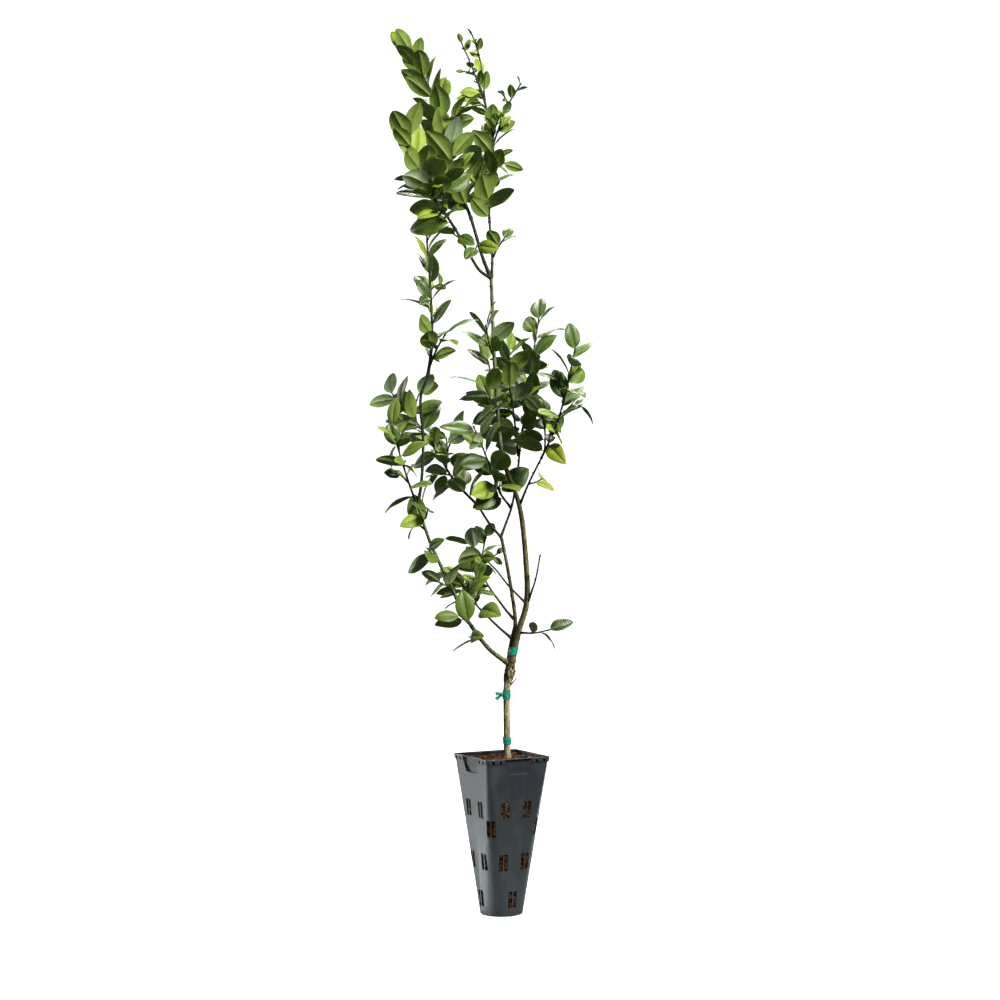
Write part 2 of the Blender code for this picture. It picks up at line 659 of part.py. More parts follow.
def cut_level(obj, height):
    """Cut an object's foot off level at a height, and close the cut."""
    bm = bmesh.new()
    bm.from_mesh(obj.data)
    cut = bmesh.ops.bisect_plane(
        bm, geom=[*bm.verts, *bm.edges, *bm.faces], plane_co=(0.0, 0.0, height), plane_no=(0.0, 0.0, 1.0),
        clear_inner=True,
    )
    rim = [element for element in cut["geom_cut"] if isinstance(element, bmesh.types.BMEdge)]
    bmesh.ops.edgeloop_fill(bm, edges=rim)
    bmesh.ops.recalc_face_normals(bm, faces=bm.faces)
    bm.to_mesh(obj.data)
    bm.free()


def add_trunk(collection, material):
    path = Path(TRUNK)
    places = [path.at(path.length * index / TRUNK_RINGS)[0] for index in range(TRUNK_RINGS + 1)]
    radii = [trunk_radius(place.z) for place in places]
    trunk = tube("trunk", places, radii, TRUNK_SIDES, collection, material)
    cut_level(trunk, TRUNK_CUT)
    spurs = new_collection("spurs")
    limb_tube("spur", Path(SPUR), 0.0, *SPUR_RADII, SPUR_SIDES, spurs)
    union(trunk, spurs)
    return trunk


def centre_line(path, start):
    """Close-set places up a limb from where it starts, each with its share of the way."""
    count = math.ceil((path.length - start) / SECTION_STEP)
    shares = [index / count for index in range(count + 1)]
    return [(path.at(mix(start, path.length, share))[0], share) for share in shares]


def section(places_and_radii, height):
    """Where a limb passes a height, and its radius there."""
    return min(places_and_radii, key=lambda pair: abs(pair[0].z - height))


def hull_ring(circles, grow, height):
    """The outline of a band pulled tight round these circles."""
    ring = []
    for index in range(BAND_SIDES):
        angle = math.tau * index / BAND_SIDES
        outward = Vector((math.cos(angle), math.sin(angle), 0.0))
        middle, radius = max(circles, key=lambda pair: pair[0].dot(outward) + pair[1])
        point = middle + outward * (radius / math.cos(math.pi / BAND_SIDES) + grow)
        ring.append(Vector((point.x, point.y, height)))
    return ring


def add_band(name, low, high, holds, collection, material):
    heights = [mix(low, high, share) for share in (0.0, 0.5, 1.0)]
    outer, inner = [], []
    for height in heights:
        circles = [section(limb, height) for limb in holds]
        outer.append(hull_ring(circles, TAPE_MARGIN + TAPE_THICKNESS, height))
        inner.append(hull_ring(circles, TAPE_MARGIN, height))
    band = new_object(name, loft(outer + inner[::-1], closed=True), collection, material)
    if name == KNOT_BAND:
        middle, radius = section(holds[0], heights[1])
        reach = radius + KNOT_SIZE * KNOT_SHARE_OUT
        add_knot(band, Vector((middle.x - reach, middle.y - KNOT_FORWARD, heights[1])))


def add_knot(band, middle):
    """A small tied knot at the left of a band, with two short ears."""
    pieces = new_collection("knot")
    bm = bmesh.new()
    bmesh.ops.create_uvsphere(bm, u_segments=8, v_segments=5, radius=KNOT_SIZE)
    bmesh.ops.scale(bm, verts=bm.verts, vec=KNOT_STRETCH)
    bmesh.ops.translate(bm, verts=bm.verts, vec=middle)
    new_object("knot", bm, pieces)
    root_width, tip_width = EAR_WIDTHS
    for lean in EAR_LEANS:
        bm = bmesh.new()
        bmesh.ops.create_cone(
            bm, cap_ends=True, segments=4, radius1=root_width, radius2=tip_width, depth=EAR_LENGTH
        )
        bmesh.ops.scale(bm, verts=bm.verts, vec=(EAR_FLATTEN, 1.0, 1.0))
        turn = Matrix.Rotation(-lean, 4, "Y")
        bmesh.ops.transform(bm, matrix=turn, verts=bm.verts)
        reach = turn @ Vector((0.0, 0.0, EAR_LENGTH / 2))
        bmesh.ops.translate(bm, verts=bm.verts, vec=middle + reach)
        new_object("ear", bm, pieces)
    union(band, pieces)


# Foliage

def leaf_points(leaf, grow):
    """The leaf's nine points: two at its root, four across its widest part, two half way, and its tip."""
    def put(across, along, up):
        drop = leaf.curl * leaf.length * (along / leaf.length) ** 2
        return leaf.place + leaf.across * across + leaf.along * along + leaf.up * (up - drop)

    length = leaf.length + grow
    half = leaf.width / 2 + grow
    thick = LEAF_THICKNESS * leaf.length / 2 + grow
    raised = leaf.fold * half
    return [
        put(0.0, 0.0, ROOT_HALF + grow),
        put(0.0, 0.0, -ROOT_HALF - grow),
        put(-half, SHOULDER * length, raised),
        put(half, SHOULDER * length, raised),
        put(0.0, SHOULDER * length, thick),
        put(0.0, SHOULDER * length, -thick),
        put(-half * HALF_WAY_WIDTH, HALF_WAY * length, raised * HALF_WAY_WIDTH),
        put(half * HALF_WAY_WIDTH, HALF_WAY * length, raised * HALF_WAY_WIDTH),
        put(0.0, length, 0.0),
    ]


LEAF_FACES = (
    (0, 1, 2), (0, 3, 1),
    (0, 2, 4), (0, 4, 3), (4, 2, 6), (4, 6, 8), (4, 8, 7), (4, 7, 3),
    (1, 5, 2), (1, 3, 5), (5, 6, 2), (5, 8, 6), (5, 7, 8), (5, 3, 7),
)


def new_leaf(full_length, place, heading, turn, share, rng):
    side, other = square_to(heading)
    outward = math.cos(turn) * side + math.sin(turn) * other
    low, high = LIFT_HEIGHTS
    lift = min(max((place.z - low) / (high - low), 0.0), 1.0)
    spread = mix(FOOT_ANGLE, TIP_ANGLE, share) - LIFT_ANGLE * lift + rng.uniform(-LEAF_JITTER, LEAF_JITTER)
    sag = Vector((0.0, 0.0, -rng.uniform(0.0, mix(*LEAF_DROOP, lift))))
    along = (heading * math.cos(spread) + outward * math.sin(spread) + sag).normalized()
    upward = Vector((0.0, 0.0, 1.0)) + heading * LEAF_UP_ALONG - outward * LEAF_UP_INWARD
    up = (upward - along * upward.dot(along)).normalized()
    up.rotate(Matrix.Rotation(rng.uniform(-LEAF_ROLL, LEAF_ROLL), 3, along))
    length = full_length * rng.uniform(*LEAF_SIZES)
    return Leaf(
        place, along, along.cross(up), up, length, length * rng.uniform(*LEAF_WIDTH),
        rng.uniform(*LEAF_FOLD), rng.uniform(*LEAF_CURL),
    )


def leaf_tree(leaf, grow):
    return BVHTree.FromPolygons(leaf_points(leaf, grow), LEAF_FACES)


def grow_leaves(mass, axes, shoot_trees, others):
    """Leaves up each shoot in a spiral. One that would touch anything turns on, and at last is skipped."""
    rng = random.Random(mass.seed)
    leaves = []
    own = []
    for number, (path, start, bare, origin) in enumerate(axes):
        near = others + [tree for other, tree in enumerate(shoot_trees) if other != number]
        first = mix(start, path.length, bare)
        count = max(2, round((path.length - first) / mass.spacing))
        turn = rng.uniform(0.0, math.tau)
        for index in range(count):
            share = (index + FIRST_LEAF) / (count - LAST_LEAF)
            place, heading = path.at(min(mix(first, path.length, share), path.length - LEAF_END))
            full_length = mix(mass.low_leaf, mass.high_leaf, mix(origin, 1.0, share))
            turn += GOLDEN_ANGLE + rng.uniform(-TURN_JITTER, TURN_JITTER)
            for attempt in range(TRIES):
                leaf = new_leaf(full_length, place, heading, turn + attempt * RETRY_TURN, share, rng)
                guard = leaf_tree(leaf, GUARD)
                if not any(guard.overlap(tree) for tree in near + own):
                    leaves.append(leaf)
                    own.append(leaf_tree(leaf, 0.0))
                    break
    return leaves


def trace_axes(mass, trees):
    """The mass's stem and side shoots: each one's path, where it starts, the share of it that stays bare, and
    how far up the stem it leaves it."""
    stem = Path(mass.stations)
    start = seat(stem, mass.foot, trees)
    axes = [(stem, start, mass.bare, 0.0)]
    for share, reach in mass.forks:
        foot, heading = stem.at(mix(start, stem.length, share))
        tip = foot + Vector(reach)
        knee = foot.lerp(tip, SHOOT_KNEE) + heading * SHOOT_BEND * Vector(reach).length
        axes.append((Path((foot, knee, tip)), 0.0, SHOOT_BARE, share))
    return axes


def add_axes(mass, axes, collection):
    """The tubes of the stem and its side shoots, as separate objects."""
    objects = []
    for index, (path, start, _, _) in enumerate(axes):
        foot = mass.foot if index == 0 else mix(mass.foot, mass.tip, SHOOT_SHARE)
        objects.append(limb_tube(mass.name, path, start, foot, mass.tip, TWIG_SIDES, collection))
    return objects


def joined_tree(objects, leaves):
    points, faces = [], []
    for obj in objects:
        first = len(points)
        points += [vertex.co.copy() for vertex in obj.data.vertices]
        faces += [tuple(index + first for index in face.vertices) for face in obj.data.polygons]
    for leaf in leaves:
        first = len(points)
        points += leaf_points(leaf, 0.0)
        faces += [tuple(index + first for index in face) for face in LEAF_FACES]
    return BVHTree.FromPolygons(points, faces)


def leaf_object(leaf, collection):
    bm = bmesh.new()
    verts = [bm.verts.new(point) for point in leaf_points(leaf, 0.0)]
    for face in LEAF_FACES:
        bm.faces.new([verts[index] for index in face])
    return new_object("leaf", bm, collection)


def add_foliage(collection, material, limb_trees):
    axes, stems, trees = {}, {}, {}
    for mass in MASSES:
        axes[mass.name] = trace_axes(mass, limb_trees + list(trees.values()))
        stems[mass.name] = add_axes(mass, axes[mass.name], collection)
        trees[mass.name] = joined_tree(stems[mass.name], ())
    for mass in MASSES:
        others = limb_trees + [tree for name, tree in trees.items() if name != mass.name]
        shoot_trees = [tree_of(shoot) for shoot in stems[mass.name]]
        leaves = grow_leaves(mass, axes[mass.name], shoot_trees, others)
        trees[mass.name] = joined_tree(stems[mass.name], leaves)
        stem, *shoots = stems[mass.name]
        pieces = new_collection(mass.name + " pieces")
        for shoot in shoots:
            collection.objects.unlink(shoot)
            pieces.objects.link(shoot)
        for leaf in leaves:
            leaf_object(leaf, pieces)
        union(stem, pieces)
        stem.name = mass.name
        stem.data.materials.clear()
        stem.data.materials.append(material)
        keep_outer_skin(stem)


def main():
    clear_scene()
    collection = new_collection("potted meyer lemon tree")
    pot_plastic = new_material("pot plastic", (0.035, 0.038, 0.042), 0.42)
    bark_mix = new_material("bark mix", (0.10, 0.045, 0.020), 0.9)
    bark = new_material("bark", (0.30, 0.24, 0.12), 0.75)
    tape = new_material("tape", (0.0, 0.35, 0.22), 0.4)
    foliage = new_material("foliage", (0.09, 0.19, 0.035), 0.4)

    add_pot(collection, pot_plastic)
    add_potting_mix(collection, bark_mix)

    trees = [tree_of(add_trunk(collection, bark))]
    sections = {"trunk": [(place, trunk_radius(place.z)) for place, _ in centre_line(Path(TRUNK), 0.0)]}
    for limb in LIMBS:
        path = Path(limb.stations)
        start = seat(path, limb.foot, trees)
        obj = limb_tube(limb.name, path, start, limb.foot, limb.tip, limb.sides, collection, bark)
        trees.append(tree_of(obj))
        line = centre_line(path, start)
        sections[limb.name] = [(place, taper(limb.foot, limb.tip, share)) for place, share in line]
    for name, holds, low, high in BANDS:
        add_band(name, low, high, [sections[held] for held in holds], collection, tape)
        trees.append(tree_of(bpy.data.objects[name]))
    add_foliage(collection, foliage, trees)
    for obj in collection.objects:
        obj.data.shade_smooth()
        obj.data.set_sharp_from_angle(angle=SHARP_ANGLE)


main()
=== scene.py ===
"""The looks of a potted meyer lemon tree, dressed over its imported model.

The tables of limbs and masses, and the rule by which stems are seated and leaves grow, repeat the part's own,
so each leaf here lies where its solid does. Metres, +Z up, and the tree is seen from -Y.
"""

import json
import math
import random
from collections import namedtuple

import bmesh
import bpy
import numpy as np
from mathutils import Matrix, Vector, noise
from mathutils.bvhtree import BVHTree

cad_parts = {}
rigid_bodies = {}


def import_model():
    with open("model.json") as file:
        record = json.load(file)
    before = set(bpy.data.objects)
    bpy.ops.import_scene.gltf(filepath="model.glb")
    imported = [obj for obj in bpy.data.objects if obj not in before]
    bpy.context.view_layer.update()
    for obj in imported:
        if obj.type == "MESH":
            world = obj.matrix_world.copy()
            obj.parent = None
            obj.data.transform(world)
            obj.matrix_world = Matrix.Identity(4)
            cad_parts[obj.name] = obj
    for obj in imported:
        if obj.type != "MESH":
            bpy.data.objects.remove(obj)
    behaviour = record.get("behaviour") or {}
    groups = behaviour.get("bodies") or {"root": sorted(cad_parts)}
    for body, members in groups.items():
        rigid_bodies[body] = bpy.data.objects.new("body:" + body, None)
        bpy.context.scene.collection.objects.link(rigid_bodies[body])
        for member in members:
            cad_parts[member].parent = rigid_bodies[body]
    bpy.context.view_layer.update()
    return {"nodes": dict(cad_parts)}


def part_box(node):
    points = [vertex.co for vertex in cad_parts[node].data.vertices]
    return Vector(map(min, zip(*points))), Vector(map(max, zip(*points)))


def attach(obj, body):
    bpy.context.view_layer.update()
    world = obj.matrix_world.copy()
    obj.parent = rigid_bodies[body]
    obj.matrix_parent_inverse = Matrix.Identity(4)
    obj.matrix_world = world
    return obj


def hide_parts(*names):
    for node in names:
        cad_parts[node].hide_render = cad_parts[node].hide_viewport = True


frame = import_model()

GAP = 0.0003

# Camera: where it stands, its lens and its sensor
CAMERA_PLACE = (-0.0033, -4.6, 0.912)
LENS = 75
SENSOR = 36

# The pot, as in the part
POT_HEIGHT = 0.350
FOOT_HALF = 0.0462
RIM_HALF = 0.0775
FOOT_CORNER = 0.0447
RIM_CORNER = 0.0045
CORNER_INSET = 0.9
POT_TURN = math.radians(28.5)
WALL = 0.002
FLOOR = 0.004
LIP_HEIGHT = 0.011
LIP_PROUD = 0.0026
SLOT_WIDTH = 0.0086
SLOT_HEIGHT = 0.036
SLOT_SPACING = 0.0114
SLOT_CUT = 0.030
SLOT_CORNER = 0.0010
FACE_ROWS = ((0.236, (-0.027, 0.027)), (0.121, (-0.026, 0.026)), (0.038, (0.0,)))
CORNER_ROW_HEIGHT = 0.197
GRIP_TOP = 0.3465
GRIP_FOOT = 0.316
GRIP_BEND = 0.3305
GRIP_TOP_HALF = 0.031
GRIP_FOOT_HALF = 0.022
GRIP_DEPTHS = (0.0035, 0.0058)
GRIP_DRAFT = 0.0007
POCKET_OFFSETS = (0.045, 0.063)
POCKET_WIDTH = 0.0056
POCKET_HEIGHT = 0.0080
POCKET_DEPTH = 0.0032
POCKET_DROP = 0.001
CUT_BEYOND = 0.03
MIX_TOP = 0.341

# The trunk, as in the part
TRUNK_CUT = MIX_TOP + GAP
TRUNK = (
    (0.0132, 0.011, MIX_TOP - 0.010),
    (0.0122, 0.007, 0.382),
    (0.0118, 0.004, 0.424),
    (0.0112, 0.002, 0.464),
    (0.0120, 0.001, 0.501),
    (0.0178, 0.000, 0.530),
    (0.0205, 0.000, 0.556),
)
TRUNK_RADIUS = 0.0076
TRUNK_TAPER = 0.0011
FORK_SWELL = 0.0030
FLARE = 0.0024
FLARE_HEIGHT = 0.007
GRAFT_HEIGHT = 0.528
GRAFT_SWELL = 0.0052
GRAFT_SPREAD = 0.016
SPUR = ((0.0150, 0.000, 0.500), (0.0240, -0.001, 0.508), (0.0335, -0.002, 0.5195))
SPUR_RADII = (0.0026, 0.0008)

TAPES = ("tape_lower", "tape_middle", "tape_upper")

STATION_SPACING = 0.026
PATH_STEP = 0.0005
SEAT_STEP = 0.0001
TAPER_POWER = 1.5
SEARCH_REACH = 0.03
RIM_POINTS = 12
FOOT_GUARD = 0.008

# Limbs: foot radius, tip radius, and stations from inside what carries the limb to its tip
Limb = namedtuple("Limb", "name foot tip sides stations")
LIMBS = (
    Limb("leader", 0.0066, 0.0036, 8, (
        (0.0222, -0.002, 0.554), (0.0386, 0.005, 0.625), (0.0563, 0.012, 0.691), (0.0530, 0.020, 0.791),
        (0.0397, 0.020, 0.899), (0.0077, 0.012, 0.989), (-0.0025, 0.008, 1.034), (-0.0144, 0.000, 1.195),
        (-0.0227, 0.000, 1.400))),
    Limb("inner_stem", 0.0046, 0.0033, 8, (
        (0.0150, 0.008, 0.545), (0.0225, 0.017, 0.600), (0.0302, 0.021, 0.649), (0.0150, 0.025, 0.753),
        (0.0000, 0.027, 0.828))),
    Limb("low_left_bough", 0.0046, 0.0031, 8, (
        (0.0180, -0.001, 0.549), (-0.0300, -0.012, 0.587), (-0.0770, -0.030, 0.653), (-0.1150, -0.045, 0.733),
        (-0.1540, -0.058, 0.816), (-0.1820, -0.068, 0.901))),
    Limb("left_leader_bough", 0.0031, 0.0028, 6, (
        (-0.1820, -0.068, 0.901), (-0.1740, -0.062, 0.956),
        (-0.1710, -0.056, 1.043), (-0.1770, -0.047, 1.131),
        (-0.1610, -0.044, 1.183))),
    Limb("diagonal_bough", 0.0026, 0.0022, 6, (
        (0.0000, 0.027, 0.828), (-0.0276, 0.030, 0.861), (-0.0520, 0.033, 0.899))),
    Limb("centre_bough", 0.0025, 0.0020, 6, (
        (-0.0010, 0.027, 0.831), (0.0110, 0.036, 0.863), (0.0232, 0.046, 0.899), (0.0345, 0.055, 0.961),
        (0.0436, 0.065, 1.051))),
    Limb("right_bough", 0.0023, 0.0018, 6, (
        (0.0397, 0.020, 0.899), (0.0607, 0.000, 0.950), (0.0870, -0.020, 1.003))),
    Limb("upper_middle_bough", 0.0038, 0.0032, 6, (
        (-0.0227, 0.000, 1.400), (-0.0413, 0.006, 1.447), (-0.0548, 0.012, 1.493), (-0.0673, 0.020, 1.536))),
    Limb("upper_left_bough", 0.0031, 0.0026, 6, (
        (-0.0240, -0.002, 1.402), (-0.0497, -0.016, 1.419),
        (-0.0760, -0.028, 1.461), (-0.1000, -0.040, 1.503))),
    Limb("upper_right_bough", 0.0027, 0.0022, 6, (
        (-0.0222, 0.003, 1.398), (-0.0205, 0.014, 1.453), (-0.0265, 0.030, 1.528))),
    Limb("bare_twig", 0.0020, 0.0012, 6, (
        (0.0559, 0.012, 0.678), (0.0748, -0.005, 0.736), (0.0850, -0.020, 0.791))),
)

# Masses of foliage: radii of the stem, distance between leaves, the seed, a leaf's length at the stem's foot
# and at its tip, the share of the stem that stays bare, the stem's stations, and the side shoots, each as its
# share of the stem and its reach
Mass = namedtuple("Mass", "name foot tip spacing seed low_leaf high_leaf bare stations forks")
MASSES = (
    Mass("upper_middle_foliage", 0.0026, 0.0012, 0.0125, 762, 0.080, 0.066, 0.03, (
        (-0.0673, 0.020, 1.536), (-0.0910, 0.028, 1.601), (-0.1150, 0.035, 1.684), (-0.1335, 0.035, 1.753),
        (-0.1620, 0.030, 1.828), (-0.2010, 0.020, 1.906)), (
        (0.10, (0.045, 0.040, 0.070)), (0.30, (-0.040, 0.050, 0.075)), (0.50, (0.040, -0.015, 0.050)))),
    Mass("upper_left_foliage", 0.0022, 0.0011, 0.0120, 702, 0.078, 0.068, 0.05, (
        (-0.1000, -0.040, 1.503), (-0.1237, -0.060, 1.538),
        (-0.1508, -0.080, 1.573), (-0.1803, -0.095, 1.636),
        (-0.2037, -0.105, 1.697)), (
        (0.30, (-0.020, -0.045, 0.060)), (0.25, (0.035, -0.030, 0.075)))),
    Mass("upper_right_foliage", 0.0019, 0.0010, 0.0185, 765, 0.080, 0.022, 0.0, (
        (-0.0265, 0.030, 1.528), (-0.0270, 0.040, 1.573), (-0.0178, 0.062, 1.698), (-0.0261, 0.074, 1.764),
        (-0.0352, 0.080, 1.800), (-0.0478, 0.084, 1.899), (-0.0655, 0.088, 1.957)), (
        (0.62, (-0.055, -0.020, 0.140)), (0.42, (0.060, 0.012, 0.135)))),
    Mass("left_leader_foliage", 0.0027, 0.0012, 0.0180, 735, 0.066, 0.062, 0.02, (
        (-0.1610, -0.044, 1.183), (-0.1520, -0.044, 1.262),
        (-0.1555, -0.037, 1.372), (-0.1635, -0.030, 1.483),
        (-0.1600, -0.025, 1.531)), (
        (0.05, (0.036, -0.030, 0.070)),)),
    Mass("left_cluster_foliage", 0.0021, 0.0010, 0.0150, 600, 0.074, 0.060, 0.05, (
        (-0.0520, 0.033, 0.899), (-0.1040, 0.040, 0.954), (-0.1500, 0.038, 1.028), (-0.1950, 0.030, 1.094),
        (-0.2420, 0.020, 1.147)), (
        (0.35, (0.020, 0.040, 0.080)), (0.75, (0.010, 0.035, 0.070)))),
    Mass("outer_left_foliage", 0.0018, 0.0010, 0.0220, 587, 0.066, 0.056, 0.03, (
        (-0.1806, -0.068, 0.893), (-0.2000, -0.088, 0.947),
        (-0.2230, -0.105, 1.022), (-0.2350, -0.115, 1.071)), ()),
    Mass("centre_right_foliage", 0.0019, 0.0010, 0.0155, 690, 0.072, 0.062, 0.03, (
        (0.0436, 0.065, 1.051), (0.0571, 0.088, 1.126), (0.0669, 0.115, 1.211), (0.0847, 0.140, 1.322)), (
        (0.30, (-0.015, 0.045, 0.090)),)),
    Mass("centre_left_foliage", 0.0018, 0.0010, 0.0140, 566, 0.072, 0.064, 0.03, (
        (0.0385, 0.0575, 1.005), (0.0280, 0.060, 1.100), (0.0190, 0.055, 1.169), (0.0146, 0.048, 1.246)), (
        (0.20, (-0.050, 0.020, 0.060)),)),
    Mass("front_left_foliage", 0.0018, 0.0010, 0.0140, 725, 0.076, 0.066, 0.08, (
        (0.0215, 0.045, 0.894), (-0.0040, 0.030, 0.930), (-0.0276, 0.000, 0.992), (-0.0475, -0.030, 1.043),
        (-0.0607, -0.045, 1.071)), (
        (0.20, (-0.010, -0.035, 0.020)),)),
    Mass("right_foliage", 0.0018, 0.0010, 0.0180, 778, 0.068, 0.060, 0.03, (
        (0.0870, -0.020, 1.003), (0.1124, -0.055, 1.058), (0.1352, -0.090, 1.129), (0.1576, -0.120, 1.234)), (
        (0.08, (-0.008, -0.012, 0.085)),)),
    Mass("leader_sprig_lower", 0.0013, 0.0010, 0.0110, 672, 0.072, 0.068, 0.0, (
        (-0.0085, 0.003, 1.105), (-0.0200, -0.018, 1.125), (-0.0360, -0.034, 1.160)), ()),
    Mass("leader_sprig_upper", 0.0013, 0.0010, 0.0115, 533, 0.066, 0.060, 0.0, (
        (-0.0150, 0.000, 1.225), (-0.0260, -0.016, 1.250), (-0.0340, -0.026, 1.292)), ()),
    Mass("leader_sprig_back", 0.0013, 0.0010, 0.0125, 703, 0.064, 0.060, 0.0, (
        (-0.0130, 0.000, 1.165), (-0.0220, 0.024, 1.185), (-0.0300, 0.040, 1.222)), ()),
    Mass("crossing_twig_foliage", 0.0016, 0.0010, 0.0150, 593, 0.066, 0.056, 0.62, (
        (0.0555, 0.010, 0.682), (0.0166, -0.006, 0.722), (-0.0155, -0.020, 0.762),
        (-0.0690, -0.045, 0.815)), ()),
    Mass("back_twig_foliage", 0.0020, 0.0010, 0.0190, 953, 0.056, 0.046, 0.38, (
        (0.0300, 0.019, 0.645), (0.0031, 0.034, 0.676), (-0.0371, 0.047, 0.735), (-0.0431, 0.052, 0.780),
        (-0.0353, 0.055, 0.830)), ()),
    Mass("low_twig_foliage", 0.0021, 0.0010, 0.0135, 1887, 0.070, 0.060, 0.42, (
        (0.0235, 0.016, 0.605), (-0.0099, 0.010, 0.634), (-0.0570, 0.002, 0.682), (-0.0872, -0.004, 0.727),
        (-0.1093, -0.006, 0.752)), ()),
    Mass("low_right_foliage", 0.0016, 0.0010, 0.0170, 1805, 0.026, 0.056, 0.20, (
        (0.0370, 0.004, 0.619), (0.0718, -0.010, 0.619), (0.1042, -0.020, 0.626)), ()),
    Mass("low_left_sprig", 0.0013, 0.0010, 0.0110, 1723, 0.066, 0.060, 0.15, (
        (-0.0640, -0.026, 0.633), (-0.0740, -0.042, 0.643), (-0.0900, -0.054, 0.660)), ()),
    Mass("middle_left_sprig", 0.0013, 0.0010, 0.0100, 691, 0.068, 0.060, 0.15, (
        (-0.1380, -0.053, 0.783), (-0.1480, -0.068, 0.792), (-0.1600, -0.080, 0.806)), ()),
    Mass("high_left_sprig", 0.0013, 0.0010, 0.0085, 551, 0.052, 0.046, 0.15, (
        (-0.1720, -0.064, 0.870), (-0.1640, -0.080, 0.874), (-0.1600, -0.092, 0.890)), ()),
    Mass("fork_sprig", 0.0013, 0.0010, 0.0100, 766, 0.060, 0.054, 0.15, (
        (-0.0440, -0.017, 0.607), (-0.0540, -0.028, 0.606), (-0.0680, -0.040, 0.612)), ()),
    Mass("lower_bend_sprig", 0.0013, 0.0010, 0.0090, 772, 0.064, 0.058, 0.15, (
        (-0.1070, -0.042, 0.715), (-0.1180, -0.056, 0.724), (-0.1330, -0.066, 0.731)), ()),
    Mass("upper_bend_sprig", 0.0013, 0.0010, 0.0090, 623, 0.058, 0.052, 0.15, (
        (-0.1670, -0.062, 0.848), (-0.1780, -0.054, 0.856), (-0.1930, -0.046, 0.866)), ()),
    Mass("right_sprig", 0.0013, 0.0010, 0.0120, 651, 0.052, 0.048, 0.15, (
        (0.0600, 0.001, 0.948), (0.0750, 0.014, 0.951), (0.0880, 0.022, 0.958)), ()),
    Mass("upper_left_sprig", 0.0013, 0.0010, 0.0105, 1045, 0.050, 0.044, 0.15, (
        (-0.0915, -0.036, 1.488), (-0.0965, -0.052, 1.487), (-0.1020, -0.066, 1.489)), ()),
    Mass("upper_middle_sprig", 0.0013, 0.0010, 0.0110, 1438, 0.046, 0.042, 0.20, (
        (-0.0500, 0.009, 1.476), (-0.0530, -0.008, 1.474), (-0.0560, -0.022, 1.466)), ()),
    Mass("upper_right_sprig", 0.0014, 0.0010, 0.0115, 882, 0.046, 0.038, 0.35, (
        (-0.0205, 0.014, 1.447), (-0.0060, 0.006, 1.473), (0.0060, -0.002, 1.489)), ()),
)

# The leaf: its width and thickness as shares of its length, its fold along the midrib, and how it hangs.
# Leaves stand steeper and droop less the higher they grow, between the two lift heights
LEAF_WIDTH = (0.48, 0.64)
LEAF_THICKNESS = 0.020
LEAF_FOLD = (0.05, 0.16)
LEAF_CURL = (0.05, 0.36)
LEAF_ROLL = math.radians(74)
LEAF_DROOP = (0.35, 0.05)
LEAF_SIZES = (0.86, 1.24)
ROOT_HALF = 0.0008
SHOULDER = 0.40
HALF_WAY = 0.75
HALF_WAY_WIDTH = 0.80
LEAF_JITTER = 0.3
LEAF_UP_ALONG = 0.4
LEAF_UP_INWARD = 0.2
FOOT_ANGLE = math.radians(66)
TIP_ANGLE = math.radians(43)
LIFT_ANGLE = math.radians(20)
LIFT_HEIGHTS = (0.75, 1.60)
GOLDEN_ANGLE = math.radians(137.5)
TURN_JITTER = math.radians(38)
RETRY_TURN = math.radians(47)
TRIES = 24
GUARD = 0.0016
FIRST_LEAF = 0.6
LAST_LEAF = 0.4
LEAF_END = 0.001

# A side shoot leaves its stem thinner, bends at its knee, and starts its leaves a little way out
SHOOT_SHARE = 0.55
SHOOT_KNEE = 0.45
SHOOT_BEND = 0.10
SHOOT_BARE = 0.12
TWIG_SIDES = 3

Leaf = namedtuple("Leaf", "place along across up length width fold curl")
Axis = namedtuple("Axis", "path start bare origin foot tip")
LEAF_FACES = (
    (0, 1, 2), (0, 3, 1),
    (0, 2, 4), (0, 4, 3), (4, 2, 6), (4, 6, 8), (4, 8, 7), (4, 7, 3),
    (1, 5, 2), (1, 3, 5), (5, 6, 2), (5, 8, 6), (5, 7, 8), (5, 3, 7),
)


# Small helpers

def mix(low, high, share):
    return low + (high - low) * share


def evaluated_mesh(obj):
    bpy.context.view_layer.update()
    graph = bpy.context.evaluated_depsgraph_get()
    return bpy.data.meshes.new_from_object(obj.evaluated_get(graph))


def smooth_step(value, low, high):
    share = min(max((value - low) / (high - low), 0.0), 1.0)
    return share * share * (3.0 - 2.0 * share)


# Finishes: the nodes of a material, written as expressions

class Socket:
    """One output in a finish's nodes. Arithmetic on it adds the node that works it out."""

    def __init__(self, finish, link):
        self.finish = finish
        self.link = link

    def __add__(self, other):
        return self.finish.maths("ADD", self, other)

    def __radd__(self, other):
        return self.finish.maths("ADD", other, self)

    def __sub__(self, other):
        return self.finish.maths("SUBTRACT", self, other)

    def __rsub__(self, other):
        return self.finish.maths("SUBTRACT", other, self)

    def __mul__(self, other):
        return self.finish.maths("MULTIPLY", self, other)

    def __rmul__(self, other):
        return self.finish.maths("MULTIPLY", other, self)


